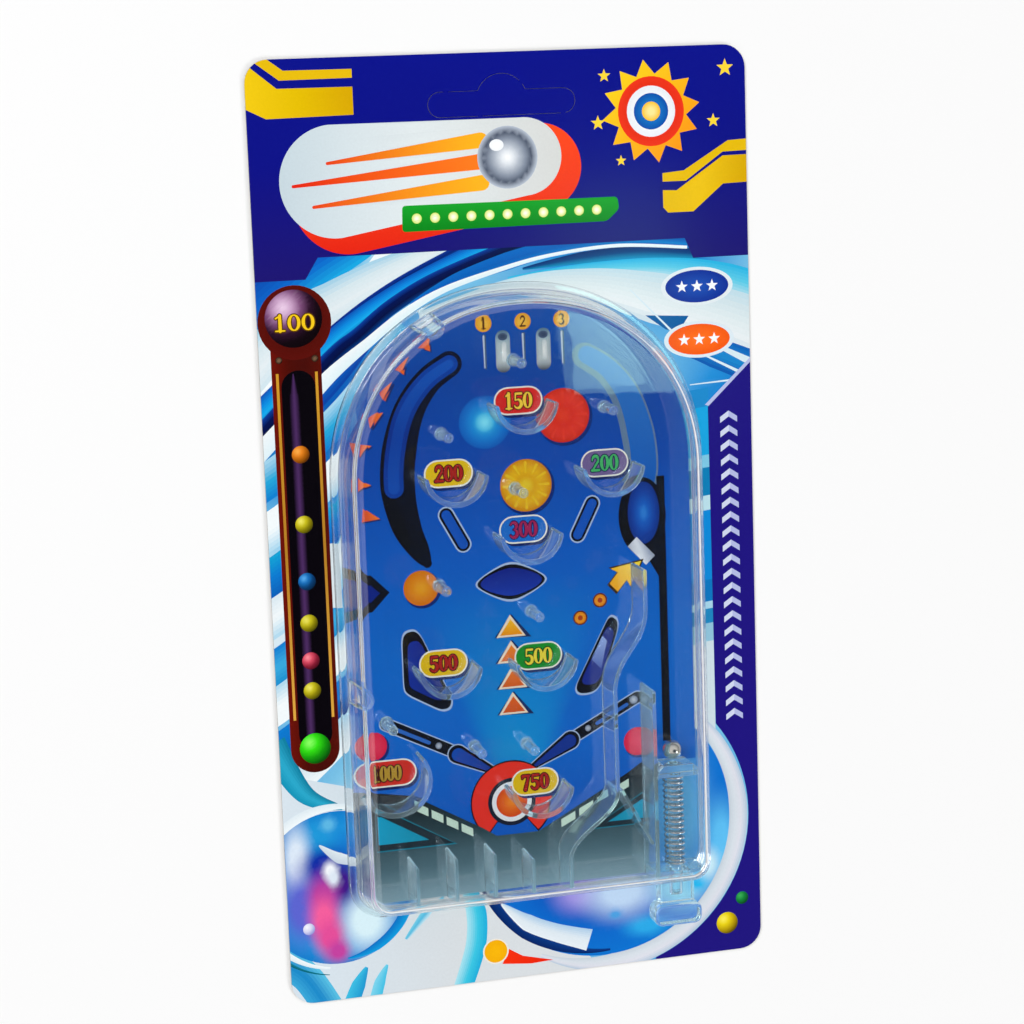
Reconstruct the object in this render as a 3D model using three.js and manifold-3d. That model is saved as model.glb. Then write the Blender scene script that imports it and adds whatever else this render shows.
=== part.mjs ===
// Handheld pinball game on its backing card, lying on its back.
// +Z points up out of the playfield, +Y to the top of the card, +X to the plunger's side.
// The origin is the middle of the card's underside, and every length is in millimetres.
import * as THREE from 'three';
import { mergeVertices } from 'three/addons/utils/BufferGeometryUtils.js';
import Module from 'manifold-3d';

const wasm = await Module();
wasm.setup();

// Backing card
const cardWidth = 132;
const cardHeight = 247;
const cardThickness = 0.6;
const cardCornerRadius = 6;

// Hang slot: cut along its line and still held by nicks
const slotWidth = 39;
const slotLobeHeight = 6.4;
const slotHumpWidth = 12.6;
const slotHumpHeight = 4.2;
const slotTopMargin = 5.4;
const slotCutWidth = 0.4;
const slotNickWidth = 1.2;

// Case outline, seen from the front
const caseHalfWidth = 50.25;
const caseHeight = 166.3;
const caseOffsetX = 0.75;
const caseTopMargin = 58.5;
const caseCornerRadius = 9;
const archRise = 50.25;
const archFullnessShare = 2.12;

// Case section, from the card forward
const caseDepth = 15;
const trayFloorThickness = 1.2;
const insertThickness = 0.4;
const flangeThickness = 1.2;
const flangeWidth = 1.85;
const wallThickness = 1.3;
const wallDraft = 1.6;
const faceThickness = 1.4;
const edgeRound = 2.9;
const bossRadius = 3.4;

// Gap between pieces that sit against each other without touching
const seatGap = 0.3;

// Pegs, cups and rails on the playfield
const pegDiameter = 3;
const pegHeight = 8.6;
const pegDimpleDepth = 0.7;
const pegFootFlare = 0.35;
const cupRadius = 8.6;
const cupHeight = 8.6;
const cupBottomThickness = 1.5;
const cupTipThickness = 0.8;
const cornerCupRadius = 9.6;
const railHeight = 10.4;
const railThickness = 1.15;
const returnRailThickness = 0.9;
const dividerThickness = 1;

// Shooter lane, plunger, spring and ball
const laneWidth = 14.65;
const headClearance = 0.8;
const headLength = 3.4;
const headHeight = 8;
const headChamfer = 1.6;
const rodDiameter = 3.2;
const gateThickness = 1.2;
const gateHeight = 9;
const gateFromBottom = 5.1;
const gateSlotGap = 0.5;
const plungerReach = 35.4;
const springWire = 0.6;
const springDiameter = 5.7;
const stemWidth = 9.6;
const stemThickness = 4.6;
const stemLength = 9.2;
const knobWidth = 13.4;
const knobLength = 6;
const knobThickness = 6.8;
const knobCornerRadius = 2.2;
const knobEdgeRound = 1;
const socketDepth = 6.5;
const ballDiameter = 5.2;
const ballLift = 0.1;

// Counts of steps and copies
const archSteps = 32;
const cornerSteps = 5;
const roundSteps = 4;
const circleSteps = 16;
const cupSteps = 14;
const springTurns = 17;
const springStepsPerTurn = 8;
const springSides = 5;

// Reach of a cutting solid past the faces it cuts
const overrun = 1;

// Heights worked out from the stack
const cardTop = cardThickness;
const pocketRoof = cardTop + insertThickness;
const deck = pocketRoof + trayFloorThickness;
const flangeTop = deck + flangeThickness;
const coverTop = cardTop + caseDepth;
const shoulder = coverTop - edgeRound;
const coverUnderside = coverTop - faceThickness;

// Places worked out from the case outline
const caseTop = cardHeight / 2 - caseTopMargin;
const caseBottom = caseTop - caseHeight;
const archSpring = caseTop - archRise;
const wallInset = flangeWidth + wallThickness;

// Places worked out for the shooter lane
const laneRight = caseOffsetX + caseHalfWidth - wallInset;
const shooterFace = laneRight - laneWidth;
const shooterWallX = shooterFace - railThickness / 2;
const plungerX = shooterFace + (laneWidth - wallDraft) / 2;
const headWidth = laneWidth - wallDraft - 2 * headClearance;
const gateOuter = caseBottom + gateFromBottom;
const gateInner = gateOuter + gateThickness;
const headFront = caseBottom + plungerReach;
const headBack = headFront - headLength;
const ballRadius = ballDiameter / 2;
const ballCentre = new THREE.Vector3(plungerX, headFront + seatGap + ballRadius, deck + ballLift + ballRadius);
const rodZ = deck + seatGap + springDiameter / 2;

// Places on the playfield, as shares of the case's half width and height from its lower edge
const pegShares = [
  [-0.013, 0.878],
  [0.469, 0.795],
  [-0.411, 0.770],
  [-0.027, 0.675],
  [-0.453, 0.530],
  [0.037, 0.476],
  [-0.765, 0.317],
  [-0.298, 0.265],
  [-0.013, 0.261],
];
const cupShares = {
  score_cup_150: [0.007, 0.818],
  score_cup_200_left: [-0.377, 0.712],
  score_cup_200_right: [0.463, 0.709],
  score_cup_300: [0.011, 0.612],
  score_cup_500_left: [-0.447, 0.409],
  score_cup_500_right: [0.069, 0.407],
  score_cup_750: [0.025, 0.200],
};
const cornerCupHeightShare = 0.233;
const dividerShares = [
  [-0.678, 0.092],
  [-0.469, 0.100],
  [-0.260, 0.100],
  [-0.053, 0.085],
];
const laneRailTopShare = [0.602, 0.537];
const laneRailBendShare = [0.602, 0.477];
const laneRailStraightShare = [0.423, 0.344];
const laneRailForkShare = [0.423, 0.182];
const laneRailSwingShare = [0.154, 0.079];
const shooterWallTopShare = 0.339;
const returnRailEndShare = 0.091;
const bossShares = [[-1, 0.375]];

// Turns of the crescents' ends and of the column on the arch, from the playfield's right
const archBossAngle = THREE.MathUtils.degToRad(120);
const cupAngles = [THREE.MathUtils.degToRad(190), THREE.MathUtils.degToRad(350)];
const cornerCupAngles = [THREE.MathUtils.degToRad(223), THREE.MathUtils.degToRad(392)];

// A place on the playfield from its shares
function fieldPoint([xShare, yShare]) {
  const x = caseOffsetX + xShare * caseHalfWidth;
  const y = caseBottom + yShare * caseHeight;
  return new THREE.Vector2(x, y);
}

// A closed mesh as a solid that can be joined and cut
function toSolid(geometry) {
  const bare = geometry.clone();
  bare.deleteAttribute('normal');
  bare.deleteAttribute('uv');
  const merged = mergeVertices(bare);
  const vertProperties = Float32Array.from(merged.attributes.position.array);
  const triVerts = Uint32Array.from(merged.index.array);
  return new wasm.Manifold(new wasm.Mesh({ numProp: 3, vertProperties, triVerts }));
}

// A joined or cut solid back as a mesh
function toGeometry(solid) {
  const mesh = solid.getMesh();
  const geometry = new THREE.BufferGeometry();
  geometry.setAttribute('position', new THREE.BufferAttribute(Float32Array.from(mesh.vertProperties), 3));
  geometry.setIndex(new THREE.BufferAttribute(Uint32Array.from(mesh.triVerts), 1));
  geometry.computeVertexNormals();
  return geometry;
}

// A flat outline raised from one height to another
function raise(shape, from, to) {
  const settings = { depth: to - from, bevelEnabled: false, curveSegments: circleSteps / 2 };
  return new THREE.ExtrudeGeometry(shape, settings).translate(0, 0, from);
}

// A box between two corners
function block(low, high) {
  const size = high.clone().sub(low);
  const centre = low.clone().add(high).multiplyScalar(0.5);
  return new THREE.BoxGeometry(size.x, size.y, size.z).translate(centre.x, centre.y, centre.z);
}

// A closed ring of points at one inset from the case's outer edge
function caseOutline(inset) {
  const halfWidth = caseHalfWidth - inset;
  const rise = archRise - inset;
  const bottom = caseBottom + inset;
  const radius = Math.max(caseCornerRadius - inset, seatGap);
  const points = [];
  for (const side of [-1, 1]) {
    for (let step = 0; step <= cornerSteps; step += 1) {
      const turn = (step / cornerSteps) * (Math.PI / 2);
      const angle = side < 0 ? Math.PI + turn : Math.PI * 1.5 + turn;
      const x = caseOffsetX + side * (halfWidth - radius) + radius * Math.cos(angle);
      const y = bottom + radius + radius * Math.sin(angle);
      points.push(new THREE.Vector2(x, y));
    }
  }
  const power = 2 / archFullnessShare;
  for (let step = 0; step <= archSteps; step += 1) {
    const angle = (step / archSteps) * Math.PI;
    const across = Math.sign(Math.cos(angle)) * Math.abs(Math.cos(angle)) ** power;
    const along = Math.abs(Math.sin(angle)) ** power;
    points.push(new THREE.Vector2(caseOffsetX + halfWidth * across, archSpring + rise * along));
  }
  return points;
}

// A closed body through case outlines of given insets and heights, with a flat cap at both ends
function loft(levels) {
  const rings = levels.map(({ inset, z }) => caseOutline(inset).map((p) => new THREE.Vector3(p.x, p.y, z)));
  const size = rings[0].length;
  const positions = rings.flat().flatMap((p) => [p.x, p.y, p.z]);
  const firstHub = rings.length * size;
  const lastHub = firstHub + 1;
  positions.push(caseOffsetX, archSpring, levels[0].z);
  positions.push(caseOffsetX, archSpring, levels[levels.length - 1].z);
  const faces = [];
  for (let j = 0; j < size; j += 1) {
    const next = (j + 1) % size;
    faces.push(firstHub, next, j);
    for (let i = 0; i + 1 < rings.length; i += 1) {
      const near = i * size;
      const far = near + size;
      faces.push(near + j, near + next, far + next);
      faces.push(near + j, far + next, far + j);
    }
    const last = firstHub - size;
    faces.push(lastHub, last + j, last + next);
  }
  const geometry = new THREE.BufferGeometry();
  geometry.setAttribute('position', new THREE.Float32BufferAttribute(positions, 3));
  geometry.setIndex(faces);
  return geometry;
}

// The cover's outer face, from its flange up to its flat front
function outerLevels() {
  const levels = [
    { inset: 0, z: deck },
    { inset: 0, z: flangeTop },
    { inset: flangeWidth, z: flangeTop },
  ];
  for (let step = 0; step <= roundSteps; step += 1) {
    const angle = (step / roundSteps) * (Math.PI / 2);
    const inset = flangeWidth + wallDraft + edgeRound * (1 - Math.cos(angle));
    levels.push({ inset, z: shoulder + edgeRound * Math.sin(angle) });
  }
  return levels;
}

// The cover's inner face, from the back of its flat front down to the tray
function innerLevels(clearance) {
  const levels = [];
  const across = edgeRound - wallThickness;
  const up = edgeRound - faceThickness;
  for (let step = roundSteps; step >= 0; step -= 1) {
    const angle = (step / roundSteps) * (Math.PI / 2);
    const inset = wallInset + wallDraft + across * (1 - Math.cos(angle)) + clearance;
    levels.push({ inset, z: shoulder + up * Math.sin(angle) - clearance });
  }
  levels.push({ inset: wallInset + clearance, z: deck });
  return levels;
}

// The space inside the cover, drawn in by a clearance, that trims what stands next to its walls
function cavity(clearance) {
  return toSolid(loft(innerLevels(clearance).reverse()));
}

// A strip of even thickness with round ends along a path of points
function stripShape(points, thickness) {
  const half = thickness / 2;
  const left = [];
  const right = [];
  const directions = points.map((point, i) => {
    const before = points[Math.max(i - 1, 0)];
    const after = points[Math.min(i + 1, points.length - 1)];
    return after.clone().sub(before).normalize();
  });
  points.forEach((point, i) => {
    const normal = new THREE.Vector2(-directions[i].y, directions[i].x);
    left.push(point.clone().addScaledVector(normal, half));
    right.push(point.clone().addScaledVector(normal, -half));
  });
  const endCap = (centre, direction) => {
    const start = direction.angle() + Math.PI / 2;
    const cap = [];
    for (let step = 1; step < circleSteps / 2; step += 1) {
      const angle = start - (step / (circleSteps / 2)) * Math.PI;
      cap.push(new THREE.Vector2(centre.x + half * Math.cos(angle), centre.y + half * Math.sin(angle)));
    }
    return cap;
  };
  const lastPoint = points.length - 1;
  const front = endCap(points[lastPoint], directions[lastPoint]);
  const back = endCap(points[0], directions[0].clone().negate());
  return new THREE.Shape([...left, ...front, ...right.reverse(), ...back]);
}

// A rounded rectangle about a centre
function roundedRectangle(centre, width, height, radius) {
  const x = width / 2;
  const y = height / 2;
  const shape = new THREE.Shape();
  shape.absarc(centre.x + x - radius, centre.y + y - radius, radius, 0, Math.PI / 2);
  shape.absarc(centre.x - x + radius, centre.y + y - radius, radius, Math.PI / 2, Math.PI);
  shape.absarc(centre.x - x + radius, centre.y - y + radius, radius, Math.PI, Math.PI * 1.5);
  shape.absarc(centre.x + x - radius, centre.y - y + radius, radius, Math.PI * 1.5, Math.PI * 2);
  return shape;
}

// The hang slot's closed outline: two round lobes and a hump between them
function slotOutline() {
  const lobe = slotLobeHeight / 2;
  const humpHalf = slotHumpWidth / 2;
  const humpRadius = (humpHalf ** 2 + slotHumpHeight ** 2) / (2 * slotHumpHeight);
  const humpAngle = Math.asin(humpHalf / humpRadius);
  const y = cardHeight / 2 - slotTopMargin - slotHumpHeight - lobe;
  const x = slotWidth / 2 - lobe;
  const path = new THREE.Path();
  path.absarc(x, y, lobe, -Math.PI / 2, Math.PI / 2);
  const humpY = y + lobe + slotHumpHeight - humpRadius;
  path.absarc(0, humpY, humpRadius, Math.PI / 2 - humpAngle, Math.PI / 2 + humpAngle);
  path.absarc(-x, y, lobe, Math.PI / 2, Math.PI * 1.5);
  path.closePath();
  return path;
}

// The slits of the hang slot's cut line, between the nicks that hold its waste
function slotSlits() {
  const outline = slotOutline();
  const length = outline.getLength();
  const slitCount = 4;
  const stepsPerSlit = 20;
  const gapShare = (slotNickWidth + slotCutWidth) / length;
  const slits = [];
  for (let slit = 0; slit < slitCount; slit += 1) {
    const start = slit / slitCount + gapShare / 2;
    const reach = 1 / slitCount - gapShare;
    const points = [];
    for (let step = 0; step <= stepsPerSlit; step += 1) {
      points.push(outline.getPointAt(start + (reach * step) / stepsPerSlit));
    }
    slits.push(stripShape(points, slotCutWidth));
  }
  return slits;
}

// The backing card, with round corners and its hang slot cut but not pushed out
function backingCard() {
  const shape = roundedRectangle(new THREE.Vector2(), cardWidth, cardHeight, cardCornerRadius);
  shape.holes = slotSlits();
  return raise(shape, 0, cardTop);
}

// The printed insert, which fills the tray's pocket but for the plunger's bay
function playfieldInsert() {
  const outline = new THREE.Shape(caseOutline(wallInset + seatGap));
  const sheet = toSolid(raise(outline, cardTop, pocketRoof));
  const bayLow = new THREE.Vector3(shooterFace + railThickness, caseBottom, cardTop - overrun);
  const bayHigh = new THREE.Vector3(laneRight + overrun, headFront - railThickness, pocketRoof + overrun);
  return toGeometry(sheet.subtract(toSolid(block(bayLow, bayHigh))));
}

// The clear tray: floor and flange in one, with a shallow pocket below for the insert
function baseTray() {
  const plate = toSolid(raise(new THREE.Shape(caseOutline(0)), cardTop, deck));
  const pocketOutline = new THREE.Shape(caseOutline(wallInset));
  const pocket = toSolid(raise(pocketOutline, cardTop - overrun, pocketRoof));
  return toGeometry(plate.subtract(pocket));
}

// The wall across the plunger's bay, with a slot open to the front for the rod
function plungerGate() {
  const wallLow = new THREE.Vector3(shooterFace + seatGap, gateOuter, deck);
  const wallHigh = new THREE.Vector3(laneRight, gateInner, deck + gateHeight);
  const wall = toSolid(block(wallLow, wallHigh)).intersect(cavity(seatGap));
  const slotHalf = rodDiameter / 2 + gateSlotGap;
  const slotLow = new THREE.Vector3(plungerX - slotHalf, gateOuter - overrun, rodZ - slotHalf);
  const slotHigh = new THREE.Vector3(plungerX + slotHalf, gateInner + overrun, deck + gateHeight + overrun);
  return toGeometry(wall.subtract(toSolid(block(slotLow, slotHigh))));
}

// Where the half-round columns stand, on the inner line of the cover's wall
function bossPlaces() {
  const halfWidth = caseHalfWidth - wallInset;
  const rise = archRise - wallInset;
  const places = bossShares.map(([side, yShare]) => {
    return new THREE.Vector2(caseOffsetX + side * halfWidth, caseBottom + yShare * caseHeight);
  });
  const power = 2 / archFullnessShare;
  const across = Math.sign(Math.cos(archBossAngle)) * Math.abs(Math.cos(archBossAngle)) ** power;
  const along = Math.sin(archBossAngle) ** power;
  places.push(new THREE.Vector2(caseOffsetX + halfWidth * across, archSpring + rise * along));
  return places;
}

// The clear cover: flange, drafted wall, rounded edge, flat front and two half-round columns inside
function frontCover() {
  const shell = toSolid(loft([...innerLevels(0), ...outerLevels()]));
  const envelope = toSolid(loft(outerLevels()));
  let cover = shell;
  for (const place of bossPlaces()) {
    const height = coverUnderside + faceThickness / 2 - deck;
    const column = new THREE.CylinderGeometry(bossRadius, bossRadius, height, circleSteps);
    column.rotateX(Math.PI / 2);
    column.translate(place.x, place.y, deck + height / 2);
    cover = cover.add(toSolid(column).intersect(envelope));
  }
  const notchHalf = stemWidth / 2 + seatGap;
  const notchTop = rodZ + stemThickness / 2 + seatGap;
  const notchLow = new THREE.Vector3(plungerX - notchHalf, caseBottom - overrun, deck - overrun);
  const notchHigh = new THREE.Vector3(plungerX + notchHalf, gateOuter, notchTop);
  return toGeometry(cover.subtract(toSolid(block(notchLow, notchHigh))));
}

// A peg: flared foot, slightly tapered shank and a dimpled round top
function peg() {
  const foot = pegDiameter / 2 + pegFootFlare;
  const shank = pegDiameter / 2;
  const top = shank - pegFootFlare / 2;
  const dimple = top / 2;
  const profile = [
    new THREE.Vector2(0, 0),
    new THREE.Vector2(foot, 0),
    new THREE.Vector2(shank, pegFootFlare * 2),
    new THREE.Vector2(top, pegHeight - pegFootFlare),
    new THREE.Vector2(top - pegFootFlare / 2, pegHeight),
    new THREE.Vector2(dimple, pegHeight),
    new THREE.Vector2(0, pegHeight - pegDimpleDepth),
  ];
  return new THREE.LatheGeometry(profile, circleSteps).rotateX(Math.PI / 2).translate(0, 0, deck);
}

// A crescent wall that opens to the top of the card and is thickest at its middle
function cup(radius, [startAngle, endAngle]) {
  const innerRadius = radius - (cupBottomThickness + cupTipThickness) / 2;
  const lift = (cupBottomThickness - cupTipThickness) / 2;
  const points = [];
  for (let step = 0; step <= cupSteps; step += 1) {
    const angle = startAngle + ((endAngle - startAngle) * step) / cupSteps;
    points.push(new THREE.Vector2(radius * Math.cos(angle), radius * Math.sin(angle)));
  }
  for (let step = cupSteps; step >= 0; step -= 1) {
    const angle = startAngle + ((endAngle - startAngle) * step) / cupSteps;
    points.push(new THREE.Vector2(innerRadius * Math.cos(angle), lift + innerRadius * Math.sin(angle)));
  }
  return raise(new THREE.Shape(points), deck, deck + cupHeight);
}

// The centre of the larger crescent, whose left end stands next to the case's left wall
function cornerCupPlace() {
  const wall = caseOffsetX - caseHalfWidth + wallInset + wallDraft;
  const reach = -cornerCupRadius * Math.cos(cornerCupAngles[0]);
  return new THREE.Vector2(wall + seatGap + reach, caseBottom + cornerCupHeightShare * caseHeight);
}

// A strip stood on the tray and trimmed to the inside of the cover
function standStrip(points, thickness, height) {
  const strip = toSolid(raise(stripShape(points, thickness), deck, deck + height));
  return toGeometry(strip.intersect(cavity(seatGap)));
}

// The long rail: down beside the shooter lane, an S-bend, then the swing to the bins
function laneRail() {
  const top = fieldPoint(laneRailTopShare);
  const bend = fieldPoint(laneRailBendShare);
  const straight = fieldPoint(laneRailStraightShare);
  const fork = fieldPoint(laneRailForkShare);
  const swing = fieldPoint(laneRailSwingShare);
  const sway = (bend.y - straight.y) * 0.45;
  const slope = (fork.y - swing.y) * 0.4;
  const path = new THREE.Path();
  path.moveTo(top.x, top.y);
  path.lineTo(bend.x, bend.y);
  path.bezierCurveTo(bend.x, bend.y - sway, straight.x, straight.y + sway, straight.x, straight.y);
  path.lineTo(fork.x, fork.y);
  path.bezierCurveTo(fork.x, fork.y - slope, swing.x, swing.y + slope, swing.x, swing.y);
  path.lineTo(swing.x, caseBottom);
  return standStrip(path.getPoints(12), railThickness, railHeight);
}

// The straight wall between the playfield and the shooter lane
function shooterLaneWall() {
  const topY = caseBottom + shooterWallTopShare * caseHeight;
  const points = [new THREE.Vector2(shooterWallX, topY), new THREE.Vector2(shooterWallX, caseBottom)];
  return standStrip(points, railThickness, railHeight);
}

// The thin rail that slopes from the fork of the long rail to the shooter lane's wall
function returnRail() {
  const standOff = railThickness / 2 + returnRailThickness / 2 + seatGap;
  const start = fieldPoint(laneRailForkShare).add(new THREE.Vector2(standOff, 0));
  const end = new THREE.Vector2(shooterWallX - standOff, caseBottom + returnRailEndShare * caseHeight);
  return standStrip([start, end], returnRailThickness, railHeight);
}

// One wall between two bins
function binDivider(share) {
  const tip = fieldPoint(share);
  return standStrip([tip, new THREE.Vector2(tip.x, caseBottom)], dividerThickness, railHeight);
}

// The plunger's bow-shaped head and the rod that carries the spring
function plungerRod() {
  const half = headWidth / 2;
  const outline = new THREE.Shape([
    new THREE.Vector2(-half, -headLength),
    new THREE.Vector2(half, -headLength),
    new THREE.Vector2(half, -headChamfer),
    new THREE.Vector2(half - headChamfer, 0),
    new THREE.Vector2(-half + headChamfer, 0),
    new THREE.Vector2(-half, -headChamfer),
  ]);
  const bottom = deck + seatGap;
  const head = toSolid(raise(outline, bottom, bottom + headHeight).translate(plungerX, headFront, 0));
  const rodStart = headBack + headLength / 2;
  const rodEnd = gateOuter - seatGap - socketDepth + seatGap;
  const rod = new THREE.CylinderGeometry(rodDiameter / 2, rodDiameter / 2, rodStart - rodEnd, circleSteps);
  rod.translate(plungerX, (rodStart + rodEnd) / 2, rodZ);
  return toGeometry(head.add(toSolid(rod)));
}

// The pull: a flat stem with a socket for the rod, and a rounded grip across its end
function plungerKnob() {
  const stemInner = gateOuter - seatGap;
  const stemOuter = stemInner - stemLength;
  const low = new THREE.Vector3(plungerX - stemWidth / 2, stemOuter - overrun, rodZ - stemThickness / 2);
  const high = new THREE.Vector3(plungerX + stemWidth / 2, stemInner, rodZ + stemThickness / 2);
  const stem = toSolid(block(low, high));
  const centre = new THREE.Vector2(plungerX, stemOuter - knobLength / 2);
  const inner = knobEdgeRound * 2;
  const outline = roundedRectangle(centre, knobWidth - inner, knobLength - inner, knobCornerRadius - knobEdgeRound);
  const settings = {
    depth: knobThickness - inner,
    bevelEnabled: true,
    bevelSize: knobEdgeRound,
    bevelThickness: knobEdgeRound,
    bevelSegments: roundSteps / 2,
    curveSegments: roundSteps,
  };
  const grip = new THREE.ExtrudeGeometry(outline, settings).translate(0, 0, rodZ - knobThickness / 2 + knobEdgeRound);
  const bore = rodDiameter / 2 + seatGap;
  const socket = new THREE.CylinderGeometry(bore, bore, socketDepth + seatGap + overrun, circleSteps);
  socket.translate(plungerX, stemInner + (overrun - socketDepth - seatGap) / 2, rodZ);
  return toGeometry(stem.add(toSolid(grip)).subtract(toSolid(socket)));
}

// Points along the spring's wire: a straight end, the turns, and a straight end
function springPath() {
  const radius = (springDiameter - springWire) / 2;
  const start = headBack - seatGap;
  const end = gateInner + seatGap;
  const wound = start - end - 2 * springWire;
  const steps = springTurns * springStepsPerTurn;
  const points = [new THREE.Vector3(radius, start, 0)];
  for (let step = 0; step <= steps; step += 1) {
    const angle = (step / springStepsPerTurn) * Math.PI * 2;
    const y = start - springWire - (wound * step) / steps;
    points.push(new THREE.Vector3(radius * Math.cos(angle), y, radius * Math.sin(angle)));
  }
  points.push(new THREE.Vector3(radius, end, 0));
  return points;
}

// The least distance between two turns' surfaces, measured on the path's points
function leastSpringGap(points) {
  let least = Infinity;
  for (let i = 0; i < points.length; i += 1) {
    for (let j = i + springStepsPerTurn / 2; j < points.length; j += 1) {
      least = Math.min(least, points[i].distanceTo(points[j]));
    }
  }
  return least - springWire;
}

// The coil spring as one unbroken tube between the plunger's head and the gate
function plungerSpring() {
  const points = springPath();
  console.log(`plunger spring least gap ${leastSpringGap(points).toFixed(3)} mm`);
  const positions = [];
  points.forEach((point, i) => {
    const before = points[Math.max(i - 1, 0)];
    const after = points[Math.min(i + 1, points.length - 1)];
    const tangent = after.clone().sub(before).normalize();
    const outward = new THREE.Vector3(point.x, 0, point.z).normalize();
    const sideways = tangent.clone().cross(outward).normalize();
    outward.crossVectors(sideways, tangent);
    for (let side = 0; side < springSides; side += 1) {
      const angle = (side / springSides) * Math.PI * 2;
      const rim = point.clone();
      rim.addScaledVector(outward, (springWire / 2) * Math.cos(angle));
      rim.addScaledVector(sideways, (springWire / 2) * Math.sin(angle));
      positions.push(rim.x + plungerX, rim.y, rim.z + rodZ);
    }
  });
  const faces = [];
  for (let i = 0; i + 1 < points.length; i += 1) {
    for (let side = 0; side < springSides; side += 1) {
      const next = (side + 1) % springSides;
      const near = i * springSides;
      const far = near + springSides;
      faces.push(near + side, near + next, far + next);
      faces.push(near + side, far + next, far + side);
    }
  }
  const last = (points.length - 1) * springSides;
  for (let side = 1; side + 1 < springSides; side += 1) {
    faces.push(0, side + 1, side);
    faces.push(last, last + side, last + side + 1);
  }
  const geometry = new THREE.BufferGeometry();
  geometry.setAttribute('position', new THREE.Float32BufferAttribute(positions, 3));
  geometry.setIndex(faces);
  geometry.computeVertexNormals();
  return geometry;
}

// The steel ball, at rest on the plunger's head
function steelBall() {
  return new THREE.SphereGeometry(ballRadius, circleSteps, circleSteps / 2).rotateX(Math.PI / 2);
}

// Looks of the materials
const clearLook = { color: 0xdcecf2, roughness: 0.06, metalness: 0, transparent: true, opacity: 0.35 };
const cardLook = { color: 0x2b53b8, roughness: 0.35, metalness: 0 };
const insertLook = { color: 0x0a58c2, roughness: 0.45, metalness: 0 };
const springLook = { color: 0xb9bdc1, roughness: 0.3, metalness: 1 };
const ballLook = { color: 0xd5d8da, roughness: 0.1, metalness: 1 };

const game = new THREE.Group();

// Adds one named piece with a material of its own
function addPiece(name, geometry, look, x = 0, y = 0, z = 0) {
  const mesh = new THREE.Mesh(geometry, new THREE.MeshStandardMaterial(look));
  mesh.name = name;
  mesh.position.set(x, y, z);
  game.add(mesh);
}

addPiece('backing_card', backingCard(), cardLook);
addPiece('playfield_insert', playfieldInsert(), insertLook);
addPiece('base_tray', baseTray(), clearLook);
addPiece('front_cover', frontCover(), clearLook);

pegShares.forEach((share, i) => {
  const place = fieldPoint(share);
  addPiece(`peg_${i + 1}`, peg(), clearLook, place.x, place.y);
});

for (const [name, share] of Object.entries(cupShares)) {
  const place = fieldPoint(share);
  addPiece(name, cup(cupRadius, cupAngles), clearLook, place.x, place.y);
}
const cornerPlace = cornerCupPlace();
addPiece('score_cup_1000', cup(cornerCupRadius, cornerCupAngles), clearLook, cornerPlace.x, cornerPlace.y);

addPiece('lane_rail', laneRail(), clearLook);
addPiece('return_rail', returnRail(), clearLook);
addPiece('shooter_lane_wall', shooterLaneWall(), clearLook);
dividerShares.forEach((share, i) => {
  addPiece(`bin_divider_${i + 1}`, binDivider(share), clearLook);
});

addPiece('plunger_gate', plungerGate(), clearLook);
addPiece('plunger_rod', plungerRod(), clearLook);
addPiece('plunger_knob', plungerKnob(), clearLook);
addPiece('plunger_spring', plungerSpring(), springLook);
addPiece('steel_ball', steelBall(), ballLook, ballCentre.x, ballCentre.y, ballCentre.z);

export default game;
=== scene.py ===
"""Dresses the handheld pinball game: clear moulded pieces over a printed playfield, on its printed card."""

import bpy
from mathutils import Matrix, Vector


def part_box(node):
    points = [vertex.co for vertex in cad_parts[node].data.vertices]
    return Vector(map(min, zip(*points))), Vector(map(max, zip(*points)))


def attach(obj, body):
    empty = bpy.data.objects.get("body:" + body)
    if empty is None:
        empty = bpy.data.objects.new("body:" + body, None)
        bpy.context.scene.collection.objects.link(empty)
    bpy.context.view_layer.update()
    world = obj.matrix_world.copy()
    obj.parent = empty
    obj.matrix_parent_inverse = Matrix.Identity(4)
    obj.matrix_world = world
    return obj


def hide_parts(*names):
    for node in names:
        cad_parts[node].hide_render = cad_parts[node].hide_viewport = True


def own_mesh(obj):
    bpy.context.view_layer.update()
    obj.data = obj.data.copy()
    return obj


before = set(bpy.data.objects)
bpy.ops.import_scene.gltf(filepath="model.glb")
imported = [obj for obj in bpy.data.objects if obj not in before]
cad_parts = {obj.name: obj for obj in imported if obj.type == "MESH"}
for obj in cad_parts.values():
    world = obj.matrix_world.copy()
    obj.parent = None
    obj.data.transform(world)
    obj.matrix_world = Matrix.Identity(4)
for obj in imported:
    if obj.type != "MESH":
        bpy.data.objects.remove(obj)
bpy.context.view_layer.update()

import math
from types import SimpleNamespace

import bmesh
import bpy
from bpy.props import FloatProperty, FloatVectorProperty, IntProperty, PointerProperty
from mathutils import Euler, Quaternion, Vector
from mathutils.geometry import delaunay_2d_cdt, tessellate_polygon

bl_info = {
    "name": "Handheld pinball game",
    "version": (1, 0, 0),
    "blender": (4, 5, 0),
    "location": "3D View > Sidebar > Pinball",
    "description": "Builds the clear case, prints, plunger, spring and ball of a carded pinball game",
    "category": "Mesh",
}

# Shapes are drawn in millimetres and written to meshes in metres
MM = 0.001

# Small pieces are moulded into the tray's floor, so they reach this far into it
ROOT = 0.4

# The arch is a superellipse: 2 would make it an ellipse, and more makes it fuller
FULLNESS = 2.12

# Faces that touch in the real case are kept this far apart
HAIR = 0.02

# The playfield's printed sheet, and the depth of the tray's pocket for it
PRINT_THICKNESS = 0.4


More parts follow.
